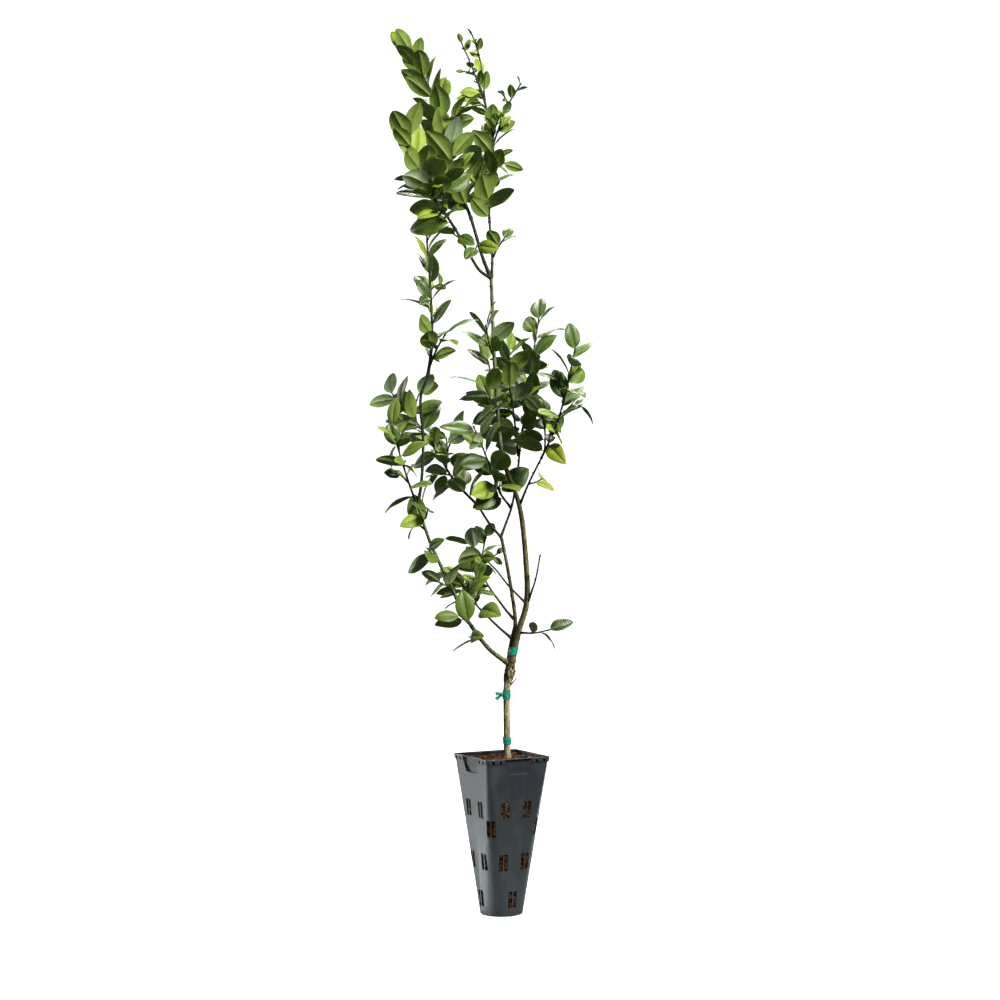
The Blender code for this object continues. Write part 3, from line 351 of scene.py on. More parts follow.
class Finish:
    """A material of this tree or its pot."""

    def __init__(self, name, roughness, coat=0.0):
        self.material = bpy.data.materials.new(name)
        self.material.use_nodes = True
        self.tree = self.material.node_tree
        self.shader = self.tree.nodes["Principled BSDF"]
        self.shader.inputs["Roughness"].default_value = roughness
        self.shader.inputs["Coat Weight"].default_value = coat
        self.place = self.node("ShaderNodeTexCoord", output="Object")

    def node(self, kind, settings=None, inputs=None, output=0):
        """Add a node: its settings first, then the values or links of its sockets."""
        node = self.tree.nodes.new(kind)
        for name, value in (settings or {}).items():
            setattr(node, name, value)
        for name, value in (inputs or {}).items():
            self.feed(node.inputs[name], value)
        return Socket(self, node.outputs[output])

    def feed(self, socket, value):
        if isinstance(value, Socket):
            self.tree.links.new(value.link, socket)
        else:
            socket.default_value = value

    def maths(self, operation, first, second):
        """A Vector Math node where a side is a place or a colour, and a Math node otherwise."""
        sides = (first, second)
        wide = any(isinstance(side, Socket) and side.link.type in ("VECTOR", "RGBA") for side in sides)
        if not wide:
            return self.node("ShaderNodeMath", {"operation": operation}, {0: first, 1: second})
        triples = [(side,) * 3 if isinstance(side, (int, float)) else side for side in sides]
        return self.node("ShaderNodeVectorMath", {"operation": operation}, {0: triples[0], 1: triples[1]})

    def noise(self, scale, detail=2.0, stretch=(1.0, 1.0, 1.0)):
        """Soft noise from 0 to 1, drawn out along the axes that the stretch makes small."""
        return self.node(
            "ShaderNodeTexNoise", None, {"Vector": self.place * stretch, "Scale": scale, "Detail": detail}
        )

    def cells(self, scale, output="Distance"):
        return self.node("ShaderNodeTexVoronoi", None, {"Vector": self.place, "Scale": scale}, output)

    def ramp(self, value, low, high, start=0.0, end=1.0):
        """The value's stretch from low to high, spread from start to end and held there."""
        return self.node("ShaderNodeMapRange", {"clamp": True}, {
            "Value": value, "From Min": low, "From Max": high, "To Min": start, "To Max": end,
        }, "Result")

    def blend(self, share, low, high):
        """A colour between two others."""
        sides = [side if isinstance(side, Socket) else (*side, 1.0) for side in (low, high)]
        node = self.tree.nodes.new("ShaderNodeMix")
        node.data_type = "RGBA"
        self.feed(node.inputs[0], share)
        self.feed(node.inputs[6], sides[0])
        self.feed(node.inputs[7], sides[1])
        return Socket(self, node.outputs[2])

    def wear(self, color=None, roughness=None, height=None, depth=0.0005):
        """Give the shader its colour and roughness, and relief of this depth in metres."""
        if color is not None:
            self.feed(self.shader.inputs["Base Color"], color)
        if roughness is not None:
            self.feed(self.shader.inputs["Roughness"], roughness)
        if height is not None:
            bump = self.node("ShaderNodeBump", None, {"Height": height, "Distance": depth})
            self.feed(self.shader.inputs["Normal"], bump)
        return self.material


def leaf_finish(name, dark, light, roughness, gloss):
    """One tint of the leaf: mottled between two near greens, with a fine pebbled gloss."""
    finish = Finish(name, roughness)
    finish.shader.inputs["Specular IOR Level"].default_value = gloss
    finish.shader.inputs["Subsurface Weight"].default_value = 0.12
    finish.shader.inputs["Subsurface Radius"].default_value = (0.6, 1.0, 0.2)
    finish.shader.inputs["Subsurface Scale"].default_value = 0.002
    mottle = finish.noise(90.0, 3.0)
    grain = finish.noise(900.0, 2.0)
    return finish.wear(
        color=finish.blend(finish.ramp(mottle, 0.3, 0.7), dark, light),
        roughness=roughness - 0.06 + 0.12 * mottle,
        height=grain + 0.6 * finish.noise(240.0, 2.0),
        depth=0.0004,
    )


PORE_PALER = 1.8
# Painted shade on the side of the bark that faces -X: how much of it, and how dark it is against the streak tone
PAINTED_SHADE_SHARE = 0.85
PAINTED_SHADE_DARKER = 0.30


def bark_finish(name, dark, light, streak, roughness, painted_shade_side=(-0.25, 0.60)):
    """Young bark: long streaks of two tones, pale pores, fine ridges along the stem, and painted shade,
    a dark tone over the side that faces -X."""
    finish = Finish(name, roughness)
    finish.shader.inputs["Specular IOR Level"].default_value = 0.25
    streaks = finish.noise(420.0, 3.0, (1.0, 1.0, 0.12))
    patches = finish.noise(70.0, 2.0, (1.0, 1.0, 0.4))
    pores = finish.ramp(finish.cells(620.0), 0.0, 0.18, 1.0, 0.0)
    ground = finish.blend(finish.ramp(patches, 0.35, 0.65), dark, light)
    streaked = finish.blend(finish.ramp(streaks, 0.52, 0.66), ground, streak)
    pored = finish.blend(pores * 0.35, streaked, tuple(min(1.0, PORE_PALER * part) for part in light))
    normal = finish.node("ShaderNodeTexCoord", output="Normal")
    across = finish.node("ShaderNodeSeparateXYZ", None, {"Vector": normal}, "X")
    # Painted shade: the normal's X, made ragged by the patches, darkens the side that faces -X
    painted_shade = finish.ramp(across + 0.5 * (patches - 0.5), *painted_shade_side, 1.0, 0.0)
    return finish.wear(
        color=finish.blend(painted_shade * PAINTED_SHADE_SHARE, pored, tuple(PAINTED_SHADE_DARKER * part for part in streak)),
        roughness=roughness + 0.15 * streaks,
        height=streaks + pores * 0.5,
        depth=0.0006,
    )


def pot_finish(name, upper, low, gloss):
    """Moulded plastic: slate grey, greener and paler lower down, with dust, scuffs and a fine grain."""
    finish = Finish(name, 0.4)
    finish.shader.inputs["Specular IOR Level"].default_value = gloss
    dust = finish.noise(26.0, 4.0, (1.0, 1.0, 0.5))
    scuffs = finish.noise(160.0, 3.0, (1.0, 1.0, 0.18))
    grain = finish.noise(1400.0, 1.0)
    height = finish.node("ShaderNodeSeparateXYZ", None, {"Vector": finish.place}, "Z")
    lower = finish.ramp(height, 0.02, 0.30, 1.0, 0.0)
    ground = finish.blend(lower, upper, low)
    dusty = finish.blend(finish.ramp(dust, 0.45, 0.75) * 0.35, ground, tuple(1.4 * part for part in low))
    return finish.wear(
        color=finish.blend(finish.ramp(scuffs, 0.60, 0.72) * 0.18, dusty, tuple(2.2 * part for part in low)),
        roughness=0.34 + 0.16 * dust,
        height=grain + 2.0 * scuffs,
        depth=0.0002,
    )


def chip_finish(name, dark, light):
    """Composted bark: fibrous brown, streaked along the chip."""
    finish = Finish(name, 0.85)
    finish.shader.inputs["Specular IOR Level"].default_value = 0.12
    fibres = finish.noise(700.0, 3.0, (1.0, 0.3, 1.0))
    return finish.wear(
        color=finish.blend(finish.ramp(fibres, 0.35, 0.65), dark, light),
        height=fibres,
        depth=0.0008,
    )


def tape_finish():
    """Stretched green tape: brighter on its raised wrinkles, with painted shade darkening the sunk folds between them.
    """
    finish = Finish("tape_green", 0.35)
    creases_and_shade = finish.noise(600.0, 2.0, (0.3, 0.3, 1.0))
    return finish.wear(
        # The darker teal is painted shade in the sunk folds
        color=finish.blend(finish.ramp(creases_and_shade, 0.35, 0.65), (0.0, 0.13, 0.080), (0.002, 0.32, 0.205)),
        roughness=0.30 + 0.2 * creases_and_shade,
        height=creases_and_shade,
        depth=0.0006,
    )


def stage_finish():
    finish = Finish("white_paper", 0.9)
    finish.shader.inputs["Emission Color"].default_value = (1.0, 1.0, 1.0, 1.0)
    finish.shader.inputs["Emission Strength"].default_value = STAGE_GLOW
    paper = finish.noise(3.0, 2.0)
    return finish.wear(color=finish.blend(paper, (0.90, 0.90, 0.90), (0.92, 0.92, 0.92)))


# Joined shapes

class Shape:
    """Points and faces gathered from many parts, for one joined mesh."""

    def __init__(self):
        self.points = []
        self.faces = []
        self.finishes = []
        self.count = 0

    def add(self, points, faces, finishes):
        """Add a part. The finishes are a number for each face, or one for all of them."""
        points = np.asarray(points, float).reshape(-1, 3)
        self.points.append(points)
        self.faces += [tuple(index + self.count for index in face) for face in faces]
        self.finishes += [finishes] * len(faces) if isinstance(finishes, int) else list(finishes)
        self.count += len(points)

    def build(self, name, materials, nodes):
        """Make the piece, which rides on the root and stands for these nodes."""
        mesh = bpy.data.meshes.new(name)
        mesh.from_pydata(np.concatenate(self.points).tolist(), [], self.faces)
        for material in materials:
            mesh.materials.append(material)
        mesh.polygons.foreach_set("material_index", self.finishes)
        return place_piece(name, mesh, nodes)


def place_piece(name, mesh, nodes):
    mesh.validate()
    mesh.shade_smooth()
    mesh.set_sharp_from_angle(angle=math.radians(50))
    piece = bpy.data.objects.new(name, mesh)
    bpy.context.scene.collection.objects.link(piece)
    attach(piece, "root")
    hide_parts(*nodes)
    return piece


def ring_faces(rings, sides):
    """The quads between rings of points that follow each other, and a cap at each end."""
    faces = []
    for ring in range(rings - 1):
        low = ring * sides
        for side in range(sides):
            following = (side + 1) % sides
            faces.append((low + side, low + following, low + sides + following, low + sides + side))
    faces.append(tuple(reversed(range(sides))))
    last = (rings - 1) * sides
    faces.append(tuple(range(last, last + sides)))
    return faces


def sweep(places, radii, sides, relief=None):
    """Rings of points round a line of places. The relief gives each point's rise from its place and turn."""
    places = [Vector(place) for place in places]
    heading = (places[1] - places[0]).normalized()
    side = heading.orthogonal().normalized()
    points = []
    for index, (place, radius) in enumerate(zip(places, radii)):
        low, high = places[max(index - 1, 0)], places[min(index + 1, len(places) - 1)]
        following = (high - low).normalized()
        side = (side - following * side.dot(following)).normalized()
        other = following.cross(side)
        for number in range(sides):
            turn = math.tau * number / sides
            outward = math.cos(turn) * side + math.sin(turn) * other
            rise = relief(place + outward * radius, outward, index) if relief else 0.0
            points.append(place + outward * (radius + rise))
    return points, ring_faces(len(places), sides)


DOME = tuple(math.radians(turn) for turn in (22, 44, 66, 84))


def rounded_tip(places, radii):
    """The same line with a round end beyond its last place."""
    heading = (places[-1] - places[-2]).normalized()
    end, radius = places[-1], radii[-1]
    return (
        list(places) + [end + heading * radius * math.sin(turn) for turn in DOME],
        list(radii) + [radius * math.cos(turn) for turn in DOME],
    )


# The growing rule, as in the part

class Path:
    """A smooth line through stations, read by its length from the foot."""

    def __init__(self, stations):
        ends = [Vector(station) for station in stations]
        first = ends[0] * 2 - ends[1]
        last = ends[-1] * 2 - ends[-2]
        knots = [first, *ends, last]
        self.points = [ends[0]]
        for index in range(1, len(knots) - 2):
            before, start, end, after = knots[index - 1:index + 3]
            steps = max(2, math.ceil((end - start).length / PATH_STEP))
            for step in range(1, steps + 1):
                self.points.append(catmull_rom(before, start, end, after, step / steps))
        self.lengths = [0.0]
        for low, high in zip(self.points, self.points[1:]):
            self.lengths.append(self.lengths[-1] + (high - low).length)
        self.length = self.lengths[-1]

    def at(self, distance):
        """The place at this distance from the foot, and the heading there."""
        share = min(max(distance / self.length, 0.0), 1.0)
        low = min(int(share * (len(self.points) - 1)), len(self.points) - 2)
        while low > 0 and self.lengths[low] > distance:
            low -= 1
        while low < len(self.points) - 2 and self.lengths[low + 1] < distance:
            low += 1
        span = self.lengths[low + 1] - self.lengths[low]
        start, end = self.points[low], self.points[low + 1]
        return start.lerp(end, (distance - self.lengths[low]) / span), (end - start).normalized()


def catmull_rom(before, start, end, after, share):
    return 0.5 * (
        2 * start
        + (end - before) * share
        + (2 * before - 5 * start + 4 * end - after) * share**2
        + (3 * start - before - 3 * end + after) * share**3
    )


def square_to(heading):
    """Two directions at right angles to a heading and to each other."""
    side = heading.orthogonal().normalized()
    return side, heading.cross(side)


def is_outside(place, trees):
    for tree in trees:
        nearest, normal, _, _ = tree.find_nearest(place, SEARCH_REACH)
        if nearest and (place - nearest).dot(normal) < 0:
            return False
    return True


def foot_guard(path, distance, radius):
    """A short tube round a limb's foot, larger than the foot by the gap all round."""
    place = path.at(distance)[0]
    heading = (path.at(distance + STATION_SPACING)[0] - place).normalized()
    side, other = square_to(heading)
    points = []
    for middle in (place - heading * GAP, place + heading * FOOT_GUARD):
        for index in range(RIM_POINTS):
            turn = math.tau * index / RIM_POINTS
            points.append(middle + (radius + GAP) * (math.cos(turn) * side + math.sin(turn) * other))
    faces = [tuple(range(RIM_POINTS)), tuple(range(RIM_POINTS, 2 * RIM_POINTS))]
    for index in range(RIM_POINTS):
        following = (index + 1) % RIM_POINTS
        faces.append((index, following, following + RIM_POINTS, index + RIM_POINTS))
    return BVHTree.FromPolygons(points, faces)


def seat(path, radius, trees):
    """How far along its path a limb starts, so that its foot lies the gap clear of what carries it."""
    distance = 0.0
    while distance < path.length:
        guard = foot_guard(path, distance, radius)
        if is_outside(path.at(distance)[0], trees) and not any(guard.overlap(tree) for tree in trees):
            return distance
        distance += SEAT_STEP
    raise ValueError("a limb never leaves what carries it")


def taper(foot, tip, share):
    return tip + (foot - tip) * (1 - share) ** TAPER_POWER


def stem_tube(path, start, foot, tip):
    """The points and faces of the part's own three-sided tube, which keeps leaves off the stem."""
    count = max(2, round((path.length - start) / STATION_SPACING))
    outline = bpy.data.curves.new("outline", "CURVE")
    ring = outline.splines.new("POLY")
    ring.points.add(TWIG_SIDES - 1)
    for index, point in enumerate(ring.points):
        turn = math.tau * index / TWIG_SIDES
        point.co = (math.cos(turn), math.sin(turn), 0.0, 1.0)
    ring.use_cyclic_u = True
    profile = bpy.data.objects.new("outline", outline)
    curve = bpy.data.curves.new("guide", "CURVE")
    curve.dimensions = "3D"
    curve.bevel_mode = "OBJECT"
    curve.bevel_object = profile
    curve.use_fill_caps = True
    line = curve.splines.new("POLY")
    line.points.add(count)
    for index, point in enumerate(line.points):
        share = index / count
        point.co = (*path.at(mix(start, path.length, share))[0], 1.0)
        point.radius = taper(foot, tip, share)
    guide = bpy.data.objects.new("guide", curve)
    for obj in (profile, guide):
        bpy.context.scene.collection.objects.link(obj)
    bm = bmesh.new()
    bm.from_mesh(evaluated_mesh(guide))
    bmesh.ops.remove_doubles(bm, verts=bm.verts, dist=1e-6)
    bmesh.ops.recalc_face_normals(bm, faces=bm.faces)
    points = [vertex.co.copy() for vertex in bm.verts]
    faces = [tuple(vertex.index for vertex in face.verts) for face in bm.faces]
    bm.free()
    bpy.data.objects.remove(profile)
    bpy.data.objects.remove(guide)
    return points, faces


def tree_of(obj):
    points = [vertex.co for vertex in obj.data.vertices]
    faces = [tuple(face.vertices) for face in obj.data.polygons]
    return BVHTree.FromPolygons(points, faces)


def leaf_points(leaf, grow):
    """The part's nine points of a leaf, grown by a margin."""
    def put(across, along, up):
        drop = leaf.curl * leaf.length * (along / leaf.length) ** 2
        return leaf.place + leaf.across * across + leaf.along * along + leaf.up * (up - drop)

    length = leaf.length + grow
    half = leaf.width / 2 + grow
    thick = LEAF_THICKNESS * leaf.length / 2 + grow
    raised = leaf.fold * half
    return [
        put(0.0, 0.0, ROOT_HALF + grow),
        put(0.0, 0.0, -ROOT_HALF - grow),
        put(-half, SHOULDER * length, raised),
        put(half, SHOULDER * length, raised),
        put(0.0, SHOULDER * length, thick),
        put(0.0, SHOULDER * length, -thick),
        put(-half * HALF_WAY_WIDTH, HALF_WAY * length, raised * HALF_WAY_WIDTH),
        put(half * HALF_WAY_WIDTH, HALF_WAY * length, raised * HALF_WAY_WIDTH),
        put(0.0, length, 0.0),
    ]


def new_leaf(full_length, place, heading, turn, share, rng):
    side, other = square_to(heading)
    outward = math.cos(turn) * side + math.sin(turn) * other
    low, high = LIFT_HEIGHTS
    lift = min(max((place.z - low) / (high - low), 0.0), 1.0)
    spread = mix(FOOT_ANGLE, TIP_ANGLE, share) - LIFT_ANGLE * lift + rng.uniform(-LEAF_JITTER, LEAF_JITTER)
    sag = Vector((0.0, 0.0, -rng.uniform(0.0, mix(*LEAF_DROOP, lift))))
    along = (heading * math.cos(spread) + outward * math.sin(spread) + sag).normalized()
    upward = Vector((0.0, 0.0, 1.0)) + heading * LEAF_UP_ALONG - outward * LEAF_UP_INWARD
    up = (upward - along * upward.dot(along)).normalized()
    up.rotate(Matrix.Rotation(rng.uniform(-LEAF_ROLL, LEAF_ROLL), 3, along))
    length = full_length * rng.uniform(*LEAF_SIZES)
    return Leaf(
        place, along, along.cross(up), up, length, length * rng.uniform(*LEAF_WIDTH),
        rng.uniform(*LEAF_FOLD), rng.uniform(*LEAF_CURL),
    )


def leaf_tree(leaf, grow):
    return BVHTree.FromPolygons(leaf_points(leaf, grow), LEAF_FACES)


def is_clear(leaf, trees):
    guard = leaf_tree(leaf, GUARD)
    return not any(guard.overlap(tree) for tree in trees)


def grow_leaves(mass, axes, shoot_trees, others):
    """Leaves up each shoot in a spiral. One that would touch anything turns on, and at last is skipped."""
    rng = random.Random(mass.seed)
    leaves = []
    own = []
    for number, axis in enumerate(axes):
        path = axis.path
        near = others + [tree for other, tree in enumerate(shoot_trees) if other != number]
        first = mix(axis.start, path.length, axis.bare)
        count = max(2, round((path.length - first) / mass.spacing))
        turn = rng.uniform(0.0, math.tau)
        for index in range(count):
            share = (index + FIRST_LEAF) / (count - LAST_LEAF)
            place, heading = path.at(min(mix(first, path.length, share), path.length - LEAF_END))
            full_length = mix(mass.low_leaf, mass.high_leaf, mix(axis.origin, 1.0, share))
            turn += GOLDEN_ANGLE + rng.uniform(-TURN_JITTER, TURN_JITTER)
            for attempt in range(TRIES):
                leaf = new_leaf(full_length, place, heading, turn + attempt * RETRY_TURN, share, rng)
                if is_clear(leaf, near + own):
                    leaves.append(leaf)
                    own.append(leaf_tree(leaf, 0.0))
                    break
    return leaves


def trace_axes(mass, trees):
    """The mass's stem and side shoots."""
    stem = Path(mass.stations)
    start = seat(stem, mass.foot, trees)
    axes = [Axis(stem, start, mass.bare, 0.0, mass.foot, mass.tip)]
    shoot_foot = mix(mass.foot, mass.tip, SHOOT_SHARE)
    for share, reach in mass.forks:
        foot, heading = stem.at(mix(start, stem.length, share))
        axes.append(Axis(bent_path(foot, heading, Vector(reach)), 0.0, SHOOT_BARE, share, shoot_foot, mass.tip))
    return axes


def bent_path(foot, heading, reach):
    """A shoot's path, which leaves its stem along the stem and bends out at its knee."""
    tip = foot + reach
    return Path((foot, foot.lerp(tip, SHOOT_KNEE) + heading * SHOOT_BEND * reach.length, tip))


def joined_tree(tubes, leaves):
    points, faces = [], []
    parts = list(tubes) + [(leaf_points(leaf, 0.0), LEAF_FACES) for leaf in leaves]
    for part_points, part_faces in parts:
        first = len(points)
        points += part_points
        faces += [tuple(index + first for index in face) for face in part_faces]
    return BVHTree.FromPolygons(points, faces)


# Finer twigs, which the part leaves out: short shoots between its leaves, with small leaves of their own

FINE_SPACING = 0.036
FINE_REACH = (0.022, 0.052)
FINE_SPREAD = math.radians(48)
FINE_RADII = (0.0011, 0.0009)
FINE_LEAF_SPACING = 0.0125
FINE_LEAF_SHARE = (0.46, 0.86)
FINE_TRIES = 8
BOX_MARGIN = 0.004


def inside_box(points, low, high):
    return all(
        low[axis] - BOX_MARGIN <= point[axis] <= high[axis] + BOX_MARGIN for point in points for axis in range(3)
    )


def grow_fine(mass, axes, leaves, others):
    """Short side shoots with small leaves, kept within the mass's own reach and clear of its leaves."""
    rng = random.Random(mass.seed + 1)
    low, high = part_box(mass.name)
    own = [leaf_tree(leaf, 0.0) for leaf in leaves]
    fine_axes, fine_leaves = [], []
    for axis in axes:
        first = mix(axis.start, axis.path.length, max(axis.bare, SHOOT_BARE))
        distance = first + rng.uniform(0.2, 1.0) * FINE_SPACING
        turn = rng.uniform(0.0, math.tau)
        while distance < axis.path.length - FINE_SPACING:
            place, heading = axis.path.at(distance)
            distance += FINE_SPACING * rng.uniform(0.7, 1.3)
            turn += GOLDEN_ANGLE
            side, other = square_to(heading)
            outward = math.cos(turn) * side + math.sin(turn) * other
            spread = FINE_SPREAD + rng.uniform(-LEAF_JITTER, LEAF_JITTER)
            reach = (heading * math.cos(spread) + outward * math.sin(spread)) * rng.uniform(*FINE_REACH)
            path = bent_path(place, heading, reach)
            twig = BVHTree.FromPolygons(*stem_tube(path, FINE_RADII[0] * 3, *FINE_RADII))
            if any(twig.overlap(tree) for tree in others + own):
                continue
            origin = mix(axis.origin, 1.0, (distance - first) / (axis.path.length - first))
            grown = []
            spin = rng.uniform(0.0, math.tau)
            count = max(2, round(path.length / FINE_LEAF_SPACING))
            for index in range(count):
                share = (index + 1) / count
                foot, fine_heading = path.at(min(share * path.length, path.length - LEAF_END))
                length = mix(mass.low_leaf, mass.high_leaf, origin) * rng.uniform(*FINE_LEAF_SHARE)
                spin += GOLDEN_ANGLE
                for attempt in range(FINE_TRIES):
                    leaf = new_leaf(length, foot, fine_heading, spin + attempt * RETRY_TURN, share, rng)
                    if inside_box(leaf_points(leaf, 0.0), low, high) and is_clear(leaf, others + own):
                        grown.append(leaf)
                        own.append(leaf_tree(leaf, 0.0))
                        break
            if len(grown) > 1:
                fine_axes.append(Axis(path, 0.0, 0.0, origin, *FINE_RADII))
                fine_leaves += grown
    return fine_axes, fine_leaves


def grow_tree():
    """Every mass's axes and leaves: the part's own, and then the finer ones between them."""
    names = ["trunk", *(limb.name for limb in LIMBS), *TAPES]
    limb_trees = [tree_of(frame["nodes"][name]) for name in names]
    axes, tubes, trees, leaves = {}, {}, {}, {}
    for mass in MASSES:
        axes[mass.name] = trace_axes(mass, limb_trees + list(trees.values()))
        tubes[mass.name] = [stem_tube(axis.path, axis.start, axis.foot, axis.tip) for axis in axes[mass.name]]
        trees[mass.name] = joined_tree(tubes[mass.name], ())
    for mass in MASSES:
        others = limb_trees + [tree for name, tree in trees.items() if name != mass.name]
        shoot_trees = [BVHTree.FromPolygons(*tube) for tube in tubes[mass.name]]
        leaves[mass.name] = grow_leaves(mass, axes[mass.name], shoot_trees, others)
        trees[mass.name] = joined_tree(tubes[mass.name], leaves[mass.name])
    for mass in MASSES:
        others = limb_trees + [tree for name, tree in trees.items() if name != mass.name]
        fine_axes, fine_leaves = grow_fine(mass, axes[mass.name], leaves[mass.name], others)
        axes[mass.name] += fine_axes
        leaves[mass.name] += fine_leaves
        trees[mass.name] = joined_tree(tubes[mass.name], leaves[mass.name])
    return axes, leaves


# Leaves

# Rows up the leaf and columns across half of it, as shares. The column beside the middle is the rib's edge
ROWS = np.array((0.0, 0.04, 0.075, 0.10, 0.13, 0.17, 0.22, 0.29, 0.37, 0.46, 0.55, 0.64, 0.73, 0.81, 0.88, 0.94))
COLUMNS = np.array((-1.0, -0.76, -0.42, -0.12, 0.0, 0.12, 0.42, 0.76, 1.0))
STALK_SHARE = 0.085
STALK_HALF = 0.0010
BLADE_RISE = 0.66
BLADE_FALL = 0.78
RIB_HALF = (0.0008, 0.0002)
RIB_COLUMNS = (3, 5)
RIB_SINK = 0.00035
RIB_STAND = 0.0006
BLADE_THICKNESS = 0.0007
BLADE_DOME = 0.13
HOOK_START = 0.68
WAVE_COUNT = (1.0, 2.5)
WAVE_HEIGHT = (0.005, 0.03)
FOLD_SHARE = 0.34
EXTRA_FOLD = (-0.02, 0.10)
RIB_SOFT = 0.22
TWIST = math.radians(24)
HOOK = (0.0, 0.10)
TINTS = 6
UNDERSIDES = 4
LOW_TINT = 3.1
CROWN_TINT = 2.1
TOP_TINT = 4.5
TINT_SPREAD = 1.3
# Share of leaves, low and high in the crown, with one of the paler undersides: partly their own paler tone, partly
# painted sheen
PALE_SHEEN_SHARES = (0.62, 0.06)
PALE_SHEEN_HEIGHTS = (1.00, 1.60)
CROWN_HEIGHTS = (0.90, 1.25)
TOP_HEIGHTS = (1.40, 1.80)


def leaf_layout():
    """The faces of one leaf and the role of each: 0 the top, 1 the underside, 2 the rib above, 3 below."""
    rows, columns = len(ROWS), len(COLUMNS)
    inner = columns - 2
    tip = rows * (columns + inner)

    def top(row, column):
        return tip if row == rows else row * columns + column

    def under(row, column):
        if row == rows or column in (0, columns - 1):
            return top(row, column)
        return rows * columns + row * inner + column - 1

    faces, roles = [], []
    for row in range(rows):
        for column in range(columns - 1):
            rib = RIB_COLUMNS[0] <= column < RIB_COLUMNS[1]
            for corner, role in ((top, 0), (under, 1)):
                face = [corner(row, column), corner(row, column + 1), corner(row + 1, column + 1)]
                if row < rows - 1:
                    face.append(corner(row + 1, column))
                faces.append(tuple(face) if corner is top else tuple(reversed(face)))
                roles.append(role + 2 * rib)
    root = [top(0, column) for column in range(columns)]
    root += [under(0, column) for column in range(columns - 2, 0, -1)]
    faces.append(tuple(reversed(root)))
    roles.append(1)
    return faces, roles


LAYOUT, ROLES = leaf_layout()


def blade_half(share):
    """The blade's half width as a share of its widest, from its stalk to its tip."""
    run = np.clip((share - STALK_SHARE) / (1.0 - STALK_SHARE), 0.0, 1.0)
    widest = BLADE_RISE / (BLADE_RISE + BLADE_FALL)
    peak = widest**BLADE_RISE * (1.0 - widest) ** BLADE_FALL
    return run**BLADE_RISE * (1.0 - run) ** BLADE_FALL / peak


def leaf_shape(leaf, rng):
    """The points of one leaf: a stalk, two domed halves folded at the rib, a curl and a slight twist."""
    rise = np.array(leaf.up)
    along = np.array(leaf.along)
    across = np.array(leaf.across)
    shares = np.append(ROWS, 1.0)
    hook = rng.uniform(*HOOK) * np.clip((shares - HOOK_START) / (1.0 - HOOK_START), 0.0, 1.0) ** 2
    drop = (leaf.curl * shares**2 + hook) * leaf.length
    middles = np.array(leaf.place) + np.outer(shares * leaf.length, along) - np.outer(drop, rise)
    tangents = np.gradient(middles, axis=0)
    tangents /= np.linalg.norm(tangents, axis=1)[:, None]
    normals = np.cross(np.broadcast_to(across, tangents.shape), tangents)
    turn = (rng.uniform(-TWIST, TWIST) * shares)[:, None]
    sides = np.cos(turn) * across + np.sin(turn) * normals
    ups = np.cos(turn) * normals - np.sin(turn) * across
    half = np.maximum(leaf.width / 2 * blade_half(ROWS), STALK_HALF * (1.0 - 0.6 * ROWS))
    rib = np.minimum(mix(*RIB_HALF, ROWS), half * 0.5)
    reach = np.outer(half, COLUMNS)
    reach[:, RIB_COLUMNS[0]] = -rib
    reach[:, RIB_COLUMNS[1]] = rib
    inner = np.abs(reach) / half[:, None]
    is_blade = np.clip((ROWS - STALK_SHARE) / 0.08, 0.0, 1.0)[:, None]
    fold = FOLD_SHARE * leaf.fold + rng.uniform(*EXTRA_FOLD)
    waves = np.sin(math.tau * rng.uniform(*WAVE_COUNT) * ROWS + rng.uniform(0.0, math.tau))[:, None]
    wave = rng.uniform(*WAVE_HEIGHT) * leaf.width * waves * np.sign(COLUMNS) * inner**2
    dome = BLADE_DOME * half[:, None] * np.sin(math.pi * inner**0.8)
    soft = RIB_SOFT * half[:, None]
    fold_rise = fold * (np.sqrt(reach**2 + soft**2) - soft)
    height = is_blade * (fold_rise + dome + wave)
    stalk = (1.0 - is_blade) * STALK_HALF * 0.8
    thick = (is_blade * BLADE_THICKNESS / 2 + stalk) * np.sqrt(np.clip(1.0 - inner**2, 0.0, 1.0))
    middle = is_blade[:, 0] * (1.0 - ROWS)
    top = height + thick
    under = height - thick
    top[:, len(COLUMNS) // 2] -= RIB_SINK * middle
    under[:, len(COLUMNS) // 2] -= RIB_STAND * middle
    base = middles[:-1, None, :] + reach[:, :, None] * sides[:-1, None, :]
    upper = base + top[:, :, None] * ups[:-1, None, :]
    lower = base + under[:, :, None] * ups[:-1, None, :]
    return np.concatenate((upper.reshape(-1, 3), lower[:, 1:-1].reshape(-1, 3), middles[-1:]))


def middle_tint(mass):
    """The tint in the middle of those a mass's leaves are dealt: brighter and yellower at the top of the crown."""
    height = sum(station[2] for station in mass.stations) / len(mass.stations)
    crown = mix(LOW_TINT, CROWN_TINT, smooth_step(height, *CROWN_HEIGHTS))
    return mix(crown, TOP_TINT, smooth_step(height, *TOP_HEIGHTS))


LEAF_GROUPS = (
    ("leaves_lower", 0.0, 0.95),
    ("leaves_middle", 0.95, 1.45),
    ("leaves_upper", 1.45, 3.0),
)


